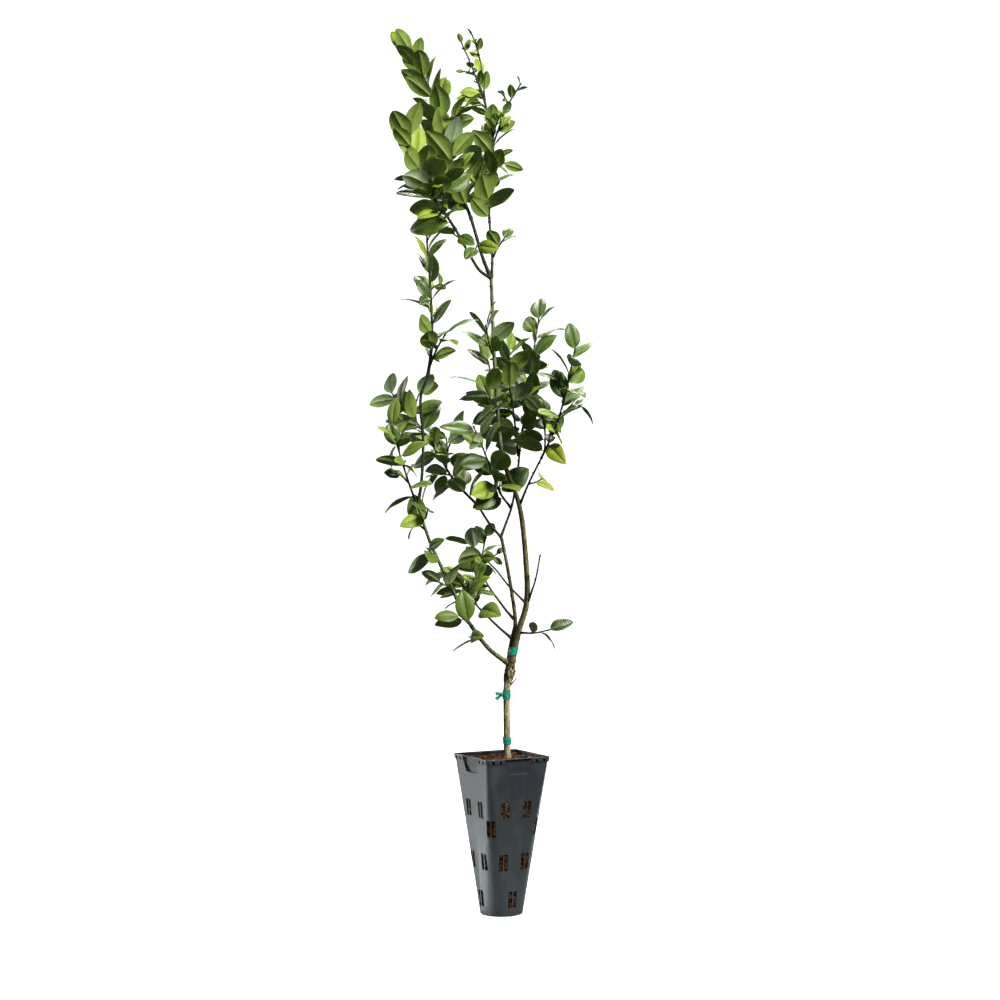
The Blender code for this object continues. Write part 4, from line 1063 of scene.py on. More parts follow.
def add_leaves(leaves, finishes):
    """One joined piece of leaves for each third of the crown."""
    rng = random.Random(7)
    for name, low, high in LEAF_GROUPS:
        shape = Shape()
        held = [mass for mass in MASSES if low <= mass.stations[-1][2] < high]
        for mass in held:
            middle = middle_tint(mass)
            grey = mix(*PALE_SHEEN_SHARES, smooth_step(mass.stations[-1][2], *PALE_SHEEN_HEIGHTS))
            for leaf in leaves[mass.name]:
                tint = min(max(round(rng.gauss(middle, TINT_SPREAD)), 0), TINTS - 1)
                # The paler undersides are partly the leaf's own paler tone and partly painted sheen, dealt more often
                # low in the crown
                pale = TINTS + (rng.randrange(1, UNDERSIDES) if rng.random() < grey else 0)
                rib = TINTS + UNDERSIDES
                by_role = (tint, pale, rib, rib)
                shape.add(leaf_shape(leaf, rng), LAYOUT, [by_role[role] for role in ROLES])
        shape.build(name, finishes, [mass.name for mass in held])


# Twigs

TWIG_STEP = 0.003
SHOOT_FINE_SIDES = 10
SINK = 0.004
COLLAR = 0.45
COLLAR_REACH = 0.006
NODE_SWELL = 0.0004
TWIG_FULLER = 1.25
TWIG_SKIN = 0.0004
NODE_REACH = 0.0028
BUD_LENGTH = 0.0045
BUD_RADIUS = 0.0011
TIP_BUD_LENGTH = 0.009


def add_bud(shape, place, heading, length, radius, finish):
    """A small pointed bud."""
    shares = (0.0, 0.25, 0.5, 0.75, 0.95)
    fullness = (0.7, 1.0, 0.85, 0.5, 0.12)
    places = [place + heading * length * share for share in shares]
    shape.add(*sweep(places, [radius * full for full in fullness], 6), finish)


def twig_radius(axis, distance, nodes):
    """The stem's taper, thicker where it leaves its limb and at each leaf."""
    share = min(max((distance - axis.start) / (axis.path.length - axis.start), 0.0), 1.0)
    radius = taper(axis.foot, axis.tip, share)
    radius *= 1.0 + COLLAR * math.exp(-max(distance - axis.start, 0.0) / COLLAR_REACH)
    nearest = min((abs(distance - node) for node in nodes), default=1.0)
    return radius * TWIG_FULLER + TWIG_SKIN + NODE_SWELL * math.exp(-((nearest / NODE_REACH) ** 2))


def add_twigs(axes, leaves, finishes):
    """The green stems and shoots with their buds, one at each leaf and one at each tip."""
    shape = Shape()
    rng = random.Random(11)
    for mass in MASSES:
        feet = [leaf.place for leaf in leaves[mass.name]]
        for axis in axes[mass.name]:
            path = axis.path
            begin = max(axis.start - SINK, 0.0)
            count = math.ceil((path.length - begin) / TWIG_STEP)
            steps = [mix(begin, path.length, index / count) for index in range(count + 1)]
            places = [path.at(step)[0] for step in steps]
            nodes = [steps[min(range(len(places)), key=lambda at: (places[at] - foot).length)] for foot in feet
                     if min((place - foot).length for place in places) < TWIG_STEP]
            radii = [twig_radius(axis, step, nodes) for step in steps]
            places, radii = rounded_tip(places, radii)
            points, faces = sweep(places, radii, SHOOT_FINE_SIDES)
            rings = len(places) - 1
            shares = [min(index // SHOOT_FINE_SIDES, rings) / rings for index in range(len(faces))]
            # The inner share of each twig takes the olive tone, darkened near to black as painted shade
            shape.add(points, faces, [0 if share < 0.35 else 1 for share in shares])
            end, heading = path.at(path.length)
            add_bud(shape, end, heading, TIP_BUD_LENGTH, BUD_RADIUS * 1.2, 2)
        for leaf in leaves[mass.name]:
            outward = (leaf.along * 0.5 + leaf.up).normalized()
            add_bud(shape, leaf.place + outward * 0.0008, outward, BUD_LENGTH, BUD_RADIUS, 2)
    shape.build("twigs", finishes, [mass.name for mass in MASSES])


# Bark

BARK_STEP = 0.0022
TRUNK_STEP = 0.0012
TRUNK_FINE_SIDES = 48
LIMB_FINE_SIDES = 22
LIMB_COLLAR = 0.35
LIMB_COLLAR_REACH = 0.012
BOUGH_SKIN = 0.0003
SCAR_SPACING = (0.018, 0.034)
SCAR_RISE = 0.0004
SCAR_HALF = 0.002
SCAR_BUD = (0.0042, 0.0012)
SPUR_STEPS = 14
SPUR_FINE_SIDES = 12
GRAFT_KNOBS = 14
KNOB_HEIGHTS = (0.500, 0.560)
KNOB_LENGTHS = (0.0022, 0.0042)
KNOB_RADII = (0.0014, 0.0030)
KNOB_SUNK = 0.92
BARK_TRUNK, BARK_BOUGH, BARK_YOUNG_SHADED, BARK_KNOB, BARK_PALE, BARK_GREEN = range(6)
LIMB_TONES = {"leader": BARK_BOUGH, "inner_stem": BARK_BOUGH, "low_left_bough": BARK_GREEN}
PALE_FROM = 0.985
UNION_HEIGHTS = (0.505, 0.545)
UNION_RAGGED = 0.012
UNION_PATCH = -0.05


def trunk_radius(height):
    """A slight taper, a flare at the soil, and the swelling at the graft union."""
    risen = max(0.0, height - TRUNK_CUT)
    swelling = GRAFT_SWELL * math.exp(-(((height - GRAFT_HEIGHT) / GRAFT_SPREAD) ** 2))
    shrink = TRUNK_TAPER * risen / (TRUNK[-1][2] - TRUNK_CUT)
    widening = FORK_SWELL * max(0.0, (height - GRAFT_HEIGHT) / (TRUNK[-1][2] - GRAFT_HEIGHT))
    return TRUNK_RADIUS - shrink + FLARE * math.exp(-risen / FLARE_HEIGHT) + swelling + widening


def bark_rise(point, strength):
    """Relief of young bark: long shallow ridges and finer lumps."""
    long = noise.noise(Vector((point.x * 260, point.y * 260, point.z * 34)))
    lump = noise.noise(Vector((point.x * 120, point.y * 120, point.z * 90)))
    fine = noise.noise(point * 700)
    return strength * (0.5 * long + 0.6 * lump + 0.25 * fine)


def limb_tone(name, height):
    """The leader turns pale above its bend, and the young boughs are dark green, darkened near to black with painted
    shade.
    """
    if name == "leader" and height > PALE_FROM:
        return BARK_PALE
    return LIMB_TONES.get(name, BARK_YOUNG_SHADED)


def trunk_rise(point, outward, index):
    graft = math.exp(-(((point.z - GRAFT_HEIGHT) / 0.022) ** 2))
    knob = noise.noise(point * 150) * graft * 0.0022
    return bark_rise(point, 0.0006 + 0.0009 * graft) + knob


def trunk_tone(point):
    """Red-brown patches over the graft union, and the brown of the stems above it."""
    patch = noise.noise(Vector((point.x * 240, point.y * 240, point.z * 110)))
    if point.z > UNION_HEIGHTS[1] + patch * UNION_RAGGED:
        return BARK_BOUGH
    if point.z > UNION_HEIGHTS[0] + patch * UNION_RAGGED and patch > UNION_PATCH:
        return BARK_KNOB
    return BARK_TRUNK


def add_trunk(shape, rng):
    """The trunk with the knobs and the dead spur of its graft union."""
    path = Path(TRUNK)
    count = math.ceil(path.length / TRUNK_STEP)
    places = [path.at(path.length * index / count)[0] for index in range(count + 1)]
    places = [place for place in places if place.z >= TRUNK_CUT]
    places[0].z = TRUNK_CUT
    places, radii = rounded_tip(places, [trunk_radius(place.z) for place in places])
    points, faces = sweep(places, radii, TRUNK_FINE_SIDES, trunk_rise)
    shape.add(points, faces, [trunk_tone(points[face[0]]) for face in faces])
    spur = Path(SPUR)
    shares = [index / SPUR_STEPS for index in range(SPUR_STEPS + 1)]
    spur_line = rounded_tip(
        [spur.at(spur.length * share)[0] for share in shares], [taper(*SPUR_RADII, share) for share in shares]
    )
    shape.add(*sweep(*spur_line, SPUR_FINE_SIDES, lambda point, outward, index: bark_rise(point, 0.0004)), BARK_KNOB)
    for _ in range(GRAFT_KNOBS):
        height = rng.uniform(*KNOB_HEIGHTS)
        turn = rng.uniform(0.0, math.tau)
        outward = Vector((math.cos(turn), math.sin(turn), rng.uniform(-0.2, 0.5))).normalized()
        place = nearest_at(path, height) + outward * trunk_radius(height) * KNOB_SUNK
        add_bud(shape, place, outward, rng.uniform(*KNOB_LENGTHS), rng.uniform(*KNOB_RADII), BARK_KNOB)


def add_limb(shape, limb, trees, rng):
    """One bough with its leaf scars and their small buds."""
    path = Path(limb.stations)
    start = seat(path, limb.foot, trees)
    begin = max(start - 2 * SINK, 0.0)
    count = math.ceil((path.length - begin) / BARK_STEP)
    steps = [mix(begin, path.length, index / count) for index in range(count + 1)]
    scars = [start + rng.uniform(*SCAR_SPACING)]
    while scars[-1] < path.length:
        scars.append(scars[-1] + rng.uniform(*SCAR_SPACING))
    radii = []
    for step in steps:
        share = min(max((step - start) / (path.length - start), 0.0), 1.0)
        radius = taper(limb.foot, limb.tip, share)
        radius *= 1.0 + LIMB_COLLAR * math.exp(-max(step - start, 0.0) / LIMB_COLLAR_REACH)
        nearest = min(abs(step - scar) for scar in scars)
        radii.append(radius + BOUGH_SKIN + SCAR_RISE * math.exp(-((nearest / SCAR_HALF) ** 2)))
    places, radii = rounded_tip([path.at(step)[0] for step in steps], radii)
    relief = 0.05 * limb.foot + 0.0001
    points, faces = sweep(places, radii, LIMB_FINE_SIDES, lambda point, outward, index: bark_rise(point, relief))
    last = len(places) - 1
    tones = [limb_tone(limb.name, places[min(index // LIMB_FINE_SIDES, last)].z) for index in range(len(faces))]
    shape.add(points, faces, tones)
    for scar in scars[:-1]:
        place, heading = path.at(scar)
        side, other = square_to(heading)
        turn = rng.uniform(0.0, math.tau)
        outward = math.cos(turn) * side + math.sin(turn) * other
        radius = taper(limb.foot, limb.tip, (scar - start) / (path.length - start))
        lean = (outward + heading * 0.6).normalized()
        add_bud(shape, place + outward * radius * 0.8, lean, *SCAR_BUD, BARK_KNOB)


def add_bark(finishes):
    """The trunk and every bough with the relief of their bark."""
    shape = Shape()
    rng = random.Random(5)
    add_trunk(shape, rng)
    trees = [tree_of(frame["nodes"]["trunk"])]
    for limb in LIMBS:
        add_limb(shape, limb, trees, rng)
        trees.append(tree_of(frame["nodes"][limb.name]))
    shape.build("bark", finishes, ["trunk", *(limb.name for limb in LIMBS)])


# The pot

POT_RINGS = 14
CORNER_STEPS = 14
ARRIS_TURN = math.radians(8)
ARRIS_SHARP = math.radians(7)
ARRIS_UPRIGHT = 0.9
CREASE_RISE = 0.0022
CREASE_HEIGHTS = (0.13, 0.225)
CREASE_HALF = 0.0012
GRIP_BEVEL = 0.0013
CUT_SHARP = math.radians(26)
FACES_AXIS = -0.5
FOOT_ROUND = 0.003
LIP_ROUND = 0.0012
ROUND_STEPS = 4
POCKET_MIDDLE = POT_HEIGHT - LIP_HEIGHT - POCKET_DROP + POCKET_HEIGHT / 2


def pot_half(height):
    return mix(FOOT_HALF, RIM_HALF, height / POT_HEIGHT)


def pot_corner(height):
    return mix(FOOT_CORNER, RIM_CORNER, height / POT_HEIGHT)


def wall_ring(height, inset):
    """Points of the pot's section at a height, inside its outer wall by the inset. An arris stands at each
    side of a rounded corner, and low down a faint crease runs up the middle of each face."""
    half = pot_half(height) - inset
    corner = pot_corner(height) - inset * CORNER_INSET
    chord = half - corner + corner * math.cos(ARRIS_TURN)
    edge = half - corner + corner * math.sin(ARRIS_TURN)
    crease = CREASE_RISE * (1.0 - smooth_step(height, *CREASE_HEIGHTS))
    points = []
    for quarter in range(4):
        turn = Matrix.Rotation(POT_TURN + math.radians(90) * quarter, 3, "Z")
        for step in range(CORNER_STEPS + 1):
            angle = mix(ARRIS_TURN, math.radians(90) - ARRIS_TURN, step / CORNER_STEPS)
            reach = Vector((half - corner + corner * math.cos(angle), half - corner + corner * math.sin(angle), height))
            points.append(turn @ reach)
        for across in (CREASE_HALF, 0.0, -CREASE_HALF):
            rise = crease * (1.0 - abs(across) / edge)
            points.append(turn @ Vector((across, chord + rise, height)))
    return points


def round_corner(height, inset, radius, start, end):
    """The heights and insets round a corner of the wall's profile, between two angles in degrees."""
    corner = []
    for step in range(ROUND_STEPS + 1):
        angle = math.radians(mix(start, end, step / ROUND_STEPS))
        corner.append((height + radius * math.sin(angle), inset - radius * math.cos(angle)))
    return corner


def pot_profile():
    """The wall from under the foot, up the outside, over the lip and down the inside."""
    lip_foot = POT_HEIGHT - LIP_HEIGHT
    profile = round_corner(FOOT_ROUND, FOOT_ROUND, FOOT_ROUND, -90, 0)
    for ring in range(1, POT_RINGS):
        profile.append((mix(FOOT_ROUND, lip_foot - 0.001, ring / POT_RINGS), 0.0))
    profile.append((lip_foot - 0.0004, 0.0))
    profile.append((lip_foot, -0.0006))
    profile += round_corner(lip_foot + 0.0006, -LIP_PROUD + 0.0006, 0.0006, -80, 0)
    profile += round_corner(POT_HEIGHT - LIP_ROUND, -LIP_PROUD + LIP_ROUND, LIP_ROUND, 0, 90)
    profile += round_corner(POT_HEIGHT - LIP_ROUND, WALL - LIP_ROUND, LIP_ROUND, 90, 180)
    for ring in range(POT_RINGS, 0, -1):
        profile.append((mix(FLOOR + 0.002, POT_HEIGHT - 2 * LIP_ROUND, ring / POT_RINGS), WALL))
    profile.append((FLOOR + 0.001, WALL + 0.0004))
    profile.append((FLOOR, WALL + 0.0016))
    return profile


def prism(*ends):
    """A block through upright outlines of (across, height) points, each at its distance along +X and lean."""
    points = []
    for outline, distance, lean in ends:
        points += [Vector((distance + lean * (height - GRIP_FOOT), across, height)) for across, height in outline]
    return points, ring_faces(len(ends), len(ends[0][0]))


def rounded_outline(corners, radius):
    """An outline whose corners are rounded."""
    outline = []
    for index, corner in enumerate(corners):
        corner = Vector(corner)
        before = (Vector(corners[index - 1]) - corner).normalized() * radius
        after = (Vector(corners[(index + 1) % len(corners)]) - corner).normalized() * radius
        for step in range(ROUND_STEPS + 1):
            share = step / ROUND_STEPS
            outline.append(corner + before * (1 - share) ** 2 + after * share**2)
    return [tuple(point) for point in outline]


def box_outline(across, height, width, tall, radius):
    half, rise = width / 2, tall / 2
    corners = (
        (across - half, height - rise), (across + half, height - rise),
        (across + half, height + rise), (across - half, height + rise),
    )
    return rounded_outline(corners, radius)


def grip_outline(grow):
    foot, top = GRIP_FOOT_HALF + grow, GRIP_TOP_HALF + grow
    corners = (
        (-foot, GRIP_FOOT - grow), (foot, GRIP_FOOT - grow), (top, GRIP_BEND),
        (top, GRIP_TOP + grow), (-top, GRIP_TOP + grow), (-top, GRIP_BEND),
    )
    return rounded_outline(corners, 0.0016)


def helper(points, faces, turn, collection, finish):
    mesh = bpy.data.meshes.new("helper")
    mesh.from_pydata(points, [], faces)
    mesh.materials.append(finish)
    bm = bmesh.new()
    bm.from_mesh(mesh)
    bmesh.ops.recalc_face_normals(bm, faces=bm.faces)
    bm.to_mesh(mesh)
    bm.free()
    obj = bpy.data.objects.new("helper", mesh)
    obj.rotation_euler.z = turn
    collection.objects.link(obj)
    return obj


def new_collection(name):
    collection = bpy.data.collections.new(name)
    bpy.context.scene.collection.children.link(collection)
    return collection


def cut_or_join(obj, operation, pieces):
    """Apply a Boolean with a collection's objects, whose finishes their faces keep, and remove them."""
    modifier = obj.modifiers.new("step", "BOOLEAN")
    modifier.material_mode = "TRANSFER"
    modifier.operation = operation
    modifier.operand_type = "COLLECTION"
    modifier.collection = pieces
    changed = evaluated_mesh(obj)
    obj.modifiers.clear()
    obj.data = changed
    for piece in list(pieces.objects):
        bpy.data.objects.remove(piece)
    bpy.data.collections.remove(pieces)


def grip_back(height):
    """How far the sunk wall of a grip is from the pot's axis."""
    top_depth, foot_depth = GRIP_DEPTHS
    share = (height - GRIP_FOOT) / (GRIP_TOP - GRIP_FOOT)
    return mix(pot_half(GRIP_FOOT) - foot_depth, pot_half(GRIP_TOP) - top_depth, share)


def slot_places():
    """Every slot of the pot: its turn about Z, how far out it is, how far across, and its height."""
    places = []
    for quarter in range(4):
        face_turn = POT_TURN + math.radians(90) * quarter
        for height, offsets in FACE_ROWS:
            for offset in offsets:
                for side in (-1, 1):
                    places.append((face_turn, pot_half(height), offset + side * SLOT_SPACING / 2, height))
        half, corner = pot_half(CORNER_ROW_HEIGHT), pot_corner(CORNER_ROW_HEIGHT)
        distance = (half - corner) * math.sqrt(2) + corner
        for side in (-1, 1):
            places.append((face_turn + math.radians(45), distance, side * SLOT_SPACING / 2, CORNER_ROW_HEIGHT))
    return places


def add_pot(wall, painted_cut_shade, inside):
    rings = [wall_ring(height, inset) for height, inset in pot_profile()]
    points = [point for ring in rings for point in ring]
    pads = new_collection("pads")
    cutters = new_collection("cutters")
    pot = helper(points, ring_faces(len(rings), len(rings[0])), 0.0, bpy.context.scene.collection, wall)
    rim_distance = pot_half(GRIP_TOP)
    foot_distance = pot_half(GRIP_FOOT)
    wall_lean = (RIM_HALF - FOOT_HALF) / POT_HEIGHT
    back = grip_back(GRIP_FOOT)
    back_lean = (grip_back(GRIP_TOP) - back) / (GRIP_TOP - GRIP_FOOT)
    lip_distance = pot_half(POT_HEIGHT) + LIP_PROUD
    for quarter in range(4):
        turn = POT_TURN + math.radians(90) * quarter
        pad = prism(
            (grip_outline(WALL), back - WALL, back_lean),
            (grip_outline(WALL), foot_distance - WALL / 2, wall_lean),
        )
        grip = prism(
            (grip_outline(-GRIP_DRAFT), back, back_lean),
            (grip_outline(GRIP_DRAFT), foot_distance - GRIP_BEVEL, wall_lean),
            (grip_outline(GRIP_DRAFT + GRIP_BEVEL), foot_distance + GAP, wall_lean),
            (grip_outline(GRIP_DRAFT + GRIP_BEVEL), rim_distance + CUT_BEYOND, 0.0),
        )
        helper(*pad, turn, pads, wall)
        helper(*grip, turn, cutters, wall)
        for side in (-1, 1):
            for offset in POCKET_OFFSETS:
                outline = box_outline(side * offset, POCKET_MIDDLE, POCKET_WIDTH, POCKET_HEIGHT, 0.0006)
                pocket = prism((outline, lip_distance - POCKET_DEPTH, 0.0), (outline, lip_distance + CUT_BEYOND, 0.0))
                # Pockets and slots take the near-black copy of the plastic: painted shade on their walls
                helper(*pocket, turn, cutters, painted_cut_shade)
    for turn, distance, across, height in slot_places():
        outline = box_outline(across, height, SLOT_WIDTH, SLOT_HEIGHT, SLOT_CORNER)
        slot = prism((outline, distance - SLOT_CUT / 2, 0.0), (outline, distance + SLOT_CUT / 2, 0.0))
        helper(*slot, turn, cutters, painted_cut_shade)
    cut_or_join(pot, "UNION", pads)
    cut_or_join(pot, "DIFFERENCE", cutters)
    mesh = pot.data
    bpy.data.objects.remove(pot)
    # Painted shade: faces turned towards the pot's axis, on the inside of the wall, take a darker copy of the plastic
    mesh.materials.append(inside)
    for face in mesh.polygons:
        outward = Vector((face.center.x, face.center.y, 0.0)).normalized()
        if face.normal.dot(outward) < FACES_AXIS:
            face.material_index = len(mesh.materials) - 1
    shell = place_piece("pot_shell", mesh, ["pot"])
    mark_arrises(shell.data)
    return shell


def mark_arrises(mesh):
    """Keep the long upright edges beside the corners and the edges of the cuts crisp."""
    bm = bmesh.new()
    bm.from_mesh(mesh)
    for edge in bm.edges:
        run = edge.verts[1].co - edge.verts[0].co
        upright = abs(run.z) > ARRIS_UPRIGHT * run.length
        if edge.calc_face_angle(0.0) > (ARRIS_SHARP if upright else CUT_SHARP):
            edge.smooth = False
    bm.to_mesh(mesh)
    bm.free()


# The potting mix

CHIP_COUNT = 680
CHIP_SIZES = ((0.006, 0.019), (0.004, 0.009), (0.0018, 0.0045))
CHIP_TONES = (1, 1, 1, 2, 2, 3, 4)
CHIP_LEAN = 0.5
CHIP_WEAR = 0.16
CORNER_WEAR = 0.22
CHIP_DEPTHS = (-0.006, 0.0005)
CHIPS_AT_SLOT = 16
SLOT_CHIP_SIZE = 0.62
SLOT_CHIP_DEPTHS = (0.0010, 0.0042)
SLOT_MARGIN = 0.0005
BODY_INSET = 0.0012
BODY_RINGS = 90
BODY_STEP = 0.0035
PAD_REACH = 0.004


def chip_grid():
    """The points and faces of a cube with a point at the middle of each edge and face."""
    bm = bmesh.new()
    bmesh.ops.create_cube(bm, size=2.0)
    bmesh.ops.subdivide_edges(bm, edges=bm.edges, cuts=1, use_grid_fill=True)
    bm.verts.ensure_lookup_table()
    points = [vertex.co.copy() for vertex in bm.verts]
    faces = [tuple(vertex.index for vertex in face.verts) for face in bm.faces]
    bm.free()
    return points, faces


def held_inside(point, inset):
    """The point, moved in to the pot's section less the inset, and off the back of a grip's pad."""
    corner = pot_corner(point.z) - inset
    middle = pot_half(point.z) - inset - corner
    local = Matrix.Rotation(-POT_TURN, 3, "Z") @ point
    over = Vector((max(abs(local.x) - middle, 0.0), max(abs(local.y) - middle, 0.0)))
    if over.length > corner:
        over *= corner / over.length
        local.x = math.copysign(min(abs(local.x), middle) + over.x, local.x)
        local.y = math.copysign(min(abs(local.y), middle) + over.y, local.y)
    if point.z > GRIP_FOOT - PAD_REACH:
        face = grip_back(max(point.z, GRIP_FOOT)) - WALL - GAP
        if abs(local.y) < GRIP_TOP_HALF + PAD_REACH:
            local.x = math.copysign(min(abs(local.x), face), local.x)
        if abs(local.x) < GRIP_TOP_HALF + PAD_REACH:
            local.y = math.copysign(min(abs(local.y), face), local.y)
    return Matrix.Rotation(POT_TURN, 3, "Z") @ local


def chip_points(grid, middle, facing, rng, smaller=1.0):
    """The points of one chip of bark: a flat block with worn corners, lying square to the facing."""
    side, other = square_to(facing)
    spin = rng.uniform(0.0, math.tau)
    along = math.cos(spin) * side + math.sin(spin) * other
    across = facing.cross(along)
    sizes = [rng.uniform(*size) / 2 * smaller for size in CHIP_SIZES]
    lean = facing + along * rng.uniform(-CHIP_LEAN, CHIP_LEAN) + across * rng.uniform(-CHIP_LEAN, CHIP_LEAN)
    up = lean.normalized()
    along = (along - up * along.dot(up)).normalized()
    across = up.cross(along)
    points = []
    for point in grid[0]:
        worn = point * (1.0 - CORNER_WEAR * (point.length - 1.0) + rng.uniform(-CHIP_WEAR, CHIP_WEAR))
        points.append(middle + along * worn.x * sizes[0] + across * worn.y * sizes[1] + up * worn.z * sizes[2])
    return points


def mix_body():
    """The rings of points round the rough body of mix."""
    heights = [mix(FLOOR + 0.001, MIX_TOP - 0.004, index / BODY_RINGS) for index in range(BODY_RINGS + 1)]
    rings = [wall_ring(height, WALL + BODY_INSET) for height in heights]
    widest = rings[-1]
    counts = [
        max(1, round((high - low).length / BODY_STEP)) for low, high in zip(widest, widest[1:] + widest[:1])
    ]
    points = []
    for ring in rings:
        for low, high, pieces in zip(ring, ring[1:] + ring[:1], counts):
            for step in range(pieces):
                point = low.lerp(high, step / pieces)
                outward = Vector((point.x, point.y, 0.0)).normalized()
                rough = noise.noise(point * 160) + 0.6 * noise.noise(point * 420)
                point += outward * (min(rough, 0.4) * 0.0018 - 0.0012)
                points.append(held_inside(point, WALL + GAP))
    return points, ring_faces(len(rings), sum(counts))


def add_mix(finishes):
    """A dark rough body of mix with bark chips on its top and in the slots."""
    rng = random.Random(3)
    shape = Shape()
    shape.add(*mix_body(), 0)
    grid = chip_grid()
    turn = Matrix.Rotation(POT_TURN, 3, "Z")
    half = pot_half(MIX_TOP) - WALL
    for _ in range(CHIP_COUNT):
        place = turn @ Vector((rng.uniform(-half, half), rng.uniform(-half, half), 0.0))
        place.z = MIX_TOP + rng.uniform(*CHIP_DEPTHS)
        points = chip_points(grid, place, Vector((0.0, 0.0, 1.0)), rng)
        shape.add([held_inside(point, WALL + GAP) for point in points], grid[1], rng.choice(CHIP_TONES))
    for turn, distance, across, height in slot_places():
        spin = Matrix.Rotation(turn, 3, "Z")
        outward = spin @ Vector((1.0, 0.0, 0.0))
        for _ in range(CHIPS_AT_SLOT):
            up = rng.uniform(-0.5, 0.5) * SLOT_HEIGHT
            out = distance + (RIM_HALF - FOOT_HALF) / POT_HEIGHT * up - rng.uniform(*SLOT_CHIP_DEPTHS)
            place = spin @ Vector((out, across + rng.uniform(-0.5, 0.5) * SLOT_WIDTH, height + up))
            points = chip_points(grid, place, outward, rng, SLOT_CHIP_SIZE)
            shape.add([in_slot(point, spin, across, height) for point in points], grid[1], rng.choice(CHIP_TONES))
    shape.build("mix", finishes, ["potting_mix"])


def in_slot(point, spin, across, height):
    """The point, held behind the wall, or behind the wall's face where it lies in the slot."""
    local = spin.inverted() @ point
    beside = abs(local.y - across) > SLOT_WIDTH / 2 - SLOT_MARGIN
    beyond = abs(point.z - height) > SLOT_HEIGHT / 2 - SLOT_MARGIN
    return held_inside(point, WALL + GAP if beside or beyond else SLOT_MARGIN)


# The tape

TAPE_SIDES = 72
TAPE_ROWS = 12
TAPE_THICKNESS = 0.0007


def tape_hold(name):
    """The middle and radius of each stem that a band holds, at a height."""
    if name != "tape_upper":
        path = Path(TRUNK)
        return lambda height: [(nearest_at(path, height), trunk_radius(height))]
    limbs = [limb for limb in LIMBS if limb.name in ("leader", "inner_stem")]
    paths = [(Path(limb.stations), limb) for limb in limbs]

    def stems(height):
        held = []
        for path, limb in paths:
            place = nearest_at(path, height)
            share = path.lengths[path.points.index(place)] / path.length
            held.append((place, taper(limb.foot, limb.tip, share)))
        return held

    return stems


def nearest_at(path, height):
    return min(path.points, key=lambda point: abs(point.z - height))


TAPE_EDGES = {"tape_lower": (0.373, 0.388), "tape_middle": (0.473, 0.492), "tape_upper": (0.570, 0.587)}


def add_tapes(material):
    """Three bands of stretched tape with wrinkles round them. The middle one is knotted."""
    rng = random.Random(23)
    for name in TAPES:
        shape = Shape()
        low, high = TAPE_EDGES[name]
        stems = tape_hold(name)
        seed = rng.uniform(0.0, 100.0)
        outer, inner = [], []
        for row in range(TAPE_ROWS + 1):
            height = mix(low, high, row / TAPE_ROWS)
            circles = stems(height)
            for rings, margin in ((outer, 0.0011 + TAPE_THICKNESS), (inner, 0.0008)):
                ring = []
                for index in range(TAPE_SIDES):
                    angle = math.tau * index / TAPE_SIDES
                    outward = Vector((math.cos(angle), math.sin(angle), 0.0))
                    middle, radius = max(circles, key=lambda pair: pair[0].dot(outward) + pair[1])
                    place = middle + outward * (radius + margin)
                    wrinkle = noise.noise(Vector((angle * 1.3, row * 0.9, seed)))
                    edge = noise.noise(Vector((math.cos(angle) * 1.6, math.sin(angle) * 1.6, seed + 9.0)))
                    place += outward * wrinkle * 0.0007
                    place.z = height + edge * 0.0016 + 0.0007 * math.sin(angle + seed)
                    ring.append(place)
                rings.append(ring)
        rings = outer + inner[::-1]
        faces = ring_faces(len(rings), TAPE_SIDES)[:-2]
        last = (len(rings) - 1) * TAPE_SIDES
        for index in range(TAPE_SIDES):
            following = (index + 1) % TAPE_SIDES
            faces.append((last + index, last + following, following, index))
        shape.add([point for ring in rings for point in ring], faces, 0)
        if name == "tape_middle":
            add_knot(shape, stems(mix(low, high, 0.5))[0], mix(low, high, 0.5))
        shape.build(name + "_band", [material], [name])


def add_knot(shape, stem, height):
    """A small tied knot at the left of the band, with two bent ears."""
    middle, radius = stem
    reach = radius + 0.0055 * 0.75
    knot = Vector((middle.x - reach, middle.y - 0.002, height))
    rings = [knot + Vector((0.0, 0.0, rise)) for rise in (-0.0050, -0.0042, -0.0024, 0.0, 0.0024, 0.0042, 0.0050)]
    fullness = (0.0008, 0.0026, 0.0042, 0.0048, 0.0042, 0.0026, 0.0008)
    shape.add(*sweep(rings, fullness, 18, lambda point, out, index: 0.0009 * noise.noise(point * 420)), 0)
    for lean, bend in ((math.radians(68), 0.35), (math.radians(118), -0.3)):
        heading = Vector((-math.sin(lean), 0.0, math.cos(lean)))
        places = []
        for index in range(9):
            share = index / 8
            sag = Vector((0.0, -0.0015 * share, -0.004 * share**2 + bend * 0.003 * math.sin(math.pi * share)))
            places.append(knot + heading * 0.0135 * share + sag)
        radii = [mix(0.0020, 0.0040, min(1.0, index / 6)) for index in range(9)]
        points, faces = sweep(places, radii, 16)
        flat = []
        for index, point in enumerate(points):
            centre = places[index // 16]
            offset = point - centre
            offset.y *= 0.22
            flat.append(centre + offset)
        shape.add(flat, faces, 0)


# Stage, lights and camera

STAGE_FLOOR = 5.6
COVE = 1.8
STAGE_HEIGHT = 9.0
STAGE_SIDES = 96
COVE_STEPS = 16
STAGE_GLOW = 0.86
ROOM_GLOW = 0.13
SHEEN_LIGHTS = (
    ("sheen_left", (-1.9, 1.15, 0.35), 0.8, 16.0, 0.22, 180),
    ("sheen_low_left", (-1.2, 0.15, -0.05), 0.4, 1.2, -0.05, 40),
    ("sheen_front_left", (-1.2, -0.7, -0.05), 0.5, 0.8, -0.05, 40),
    ("sheen_right", (1.2, 0.85, 0.05), 0.5, 14.0, 0.05, 180),
)


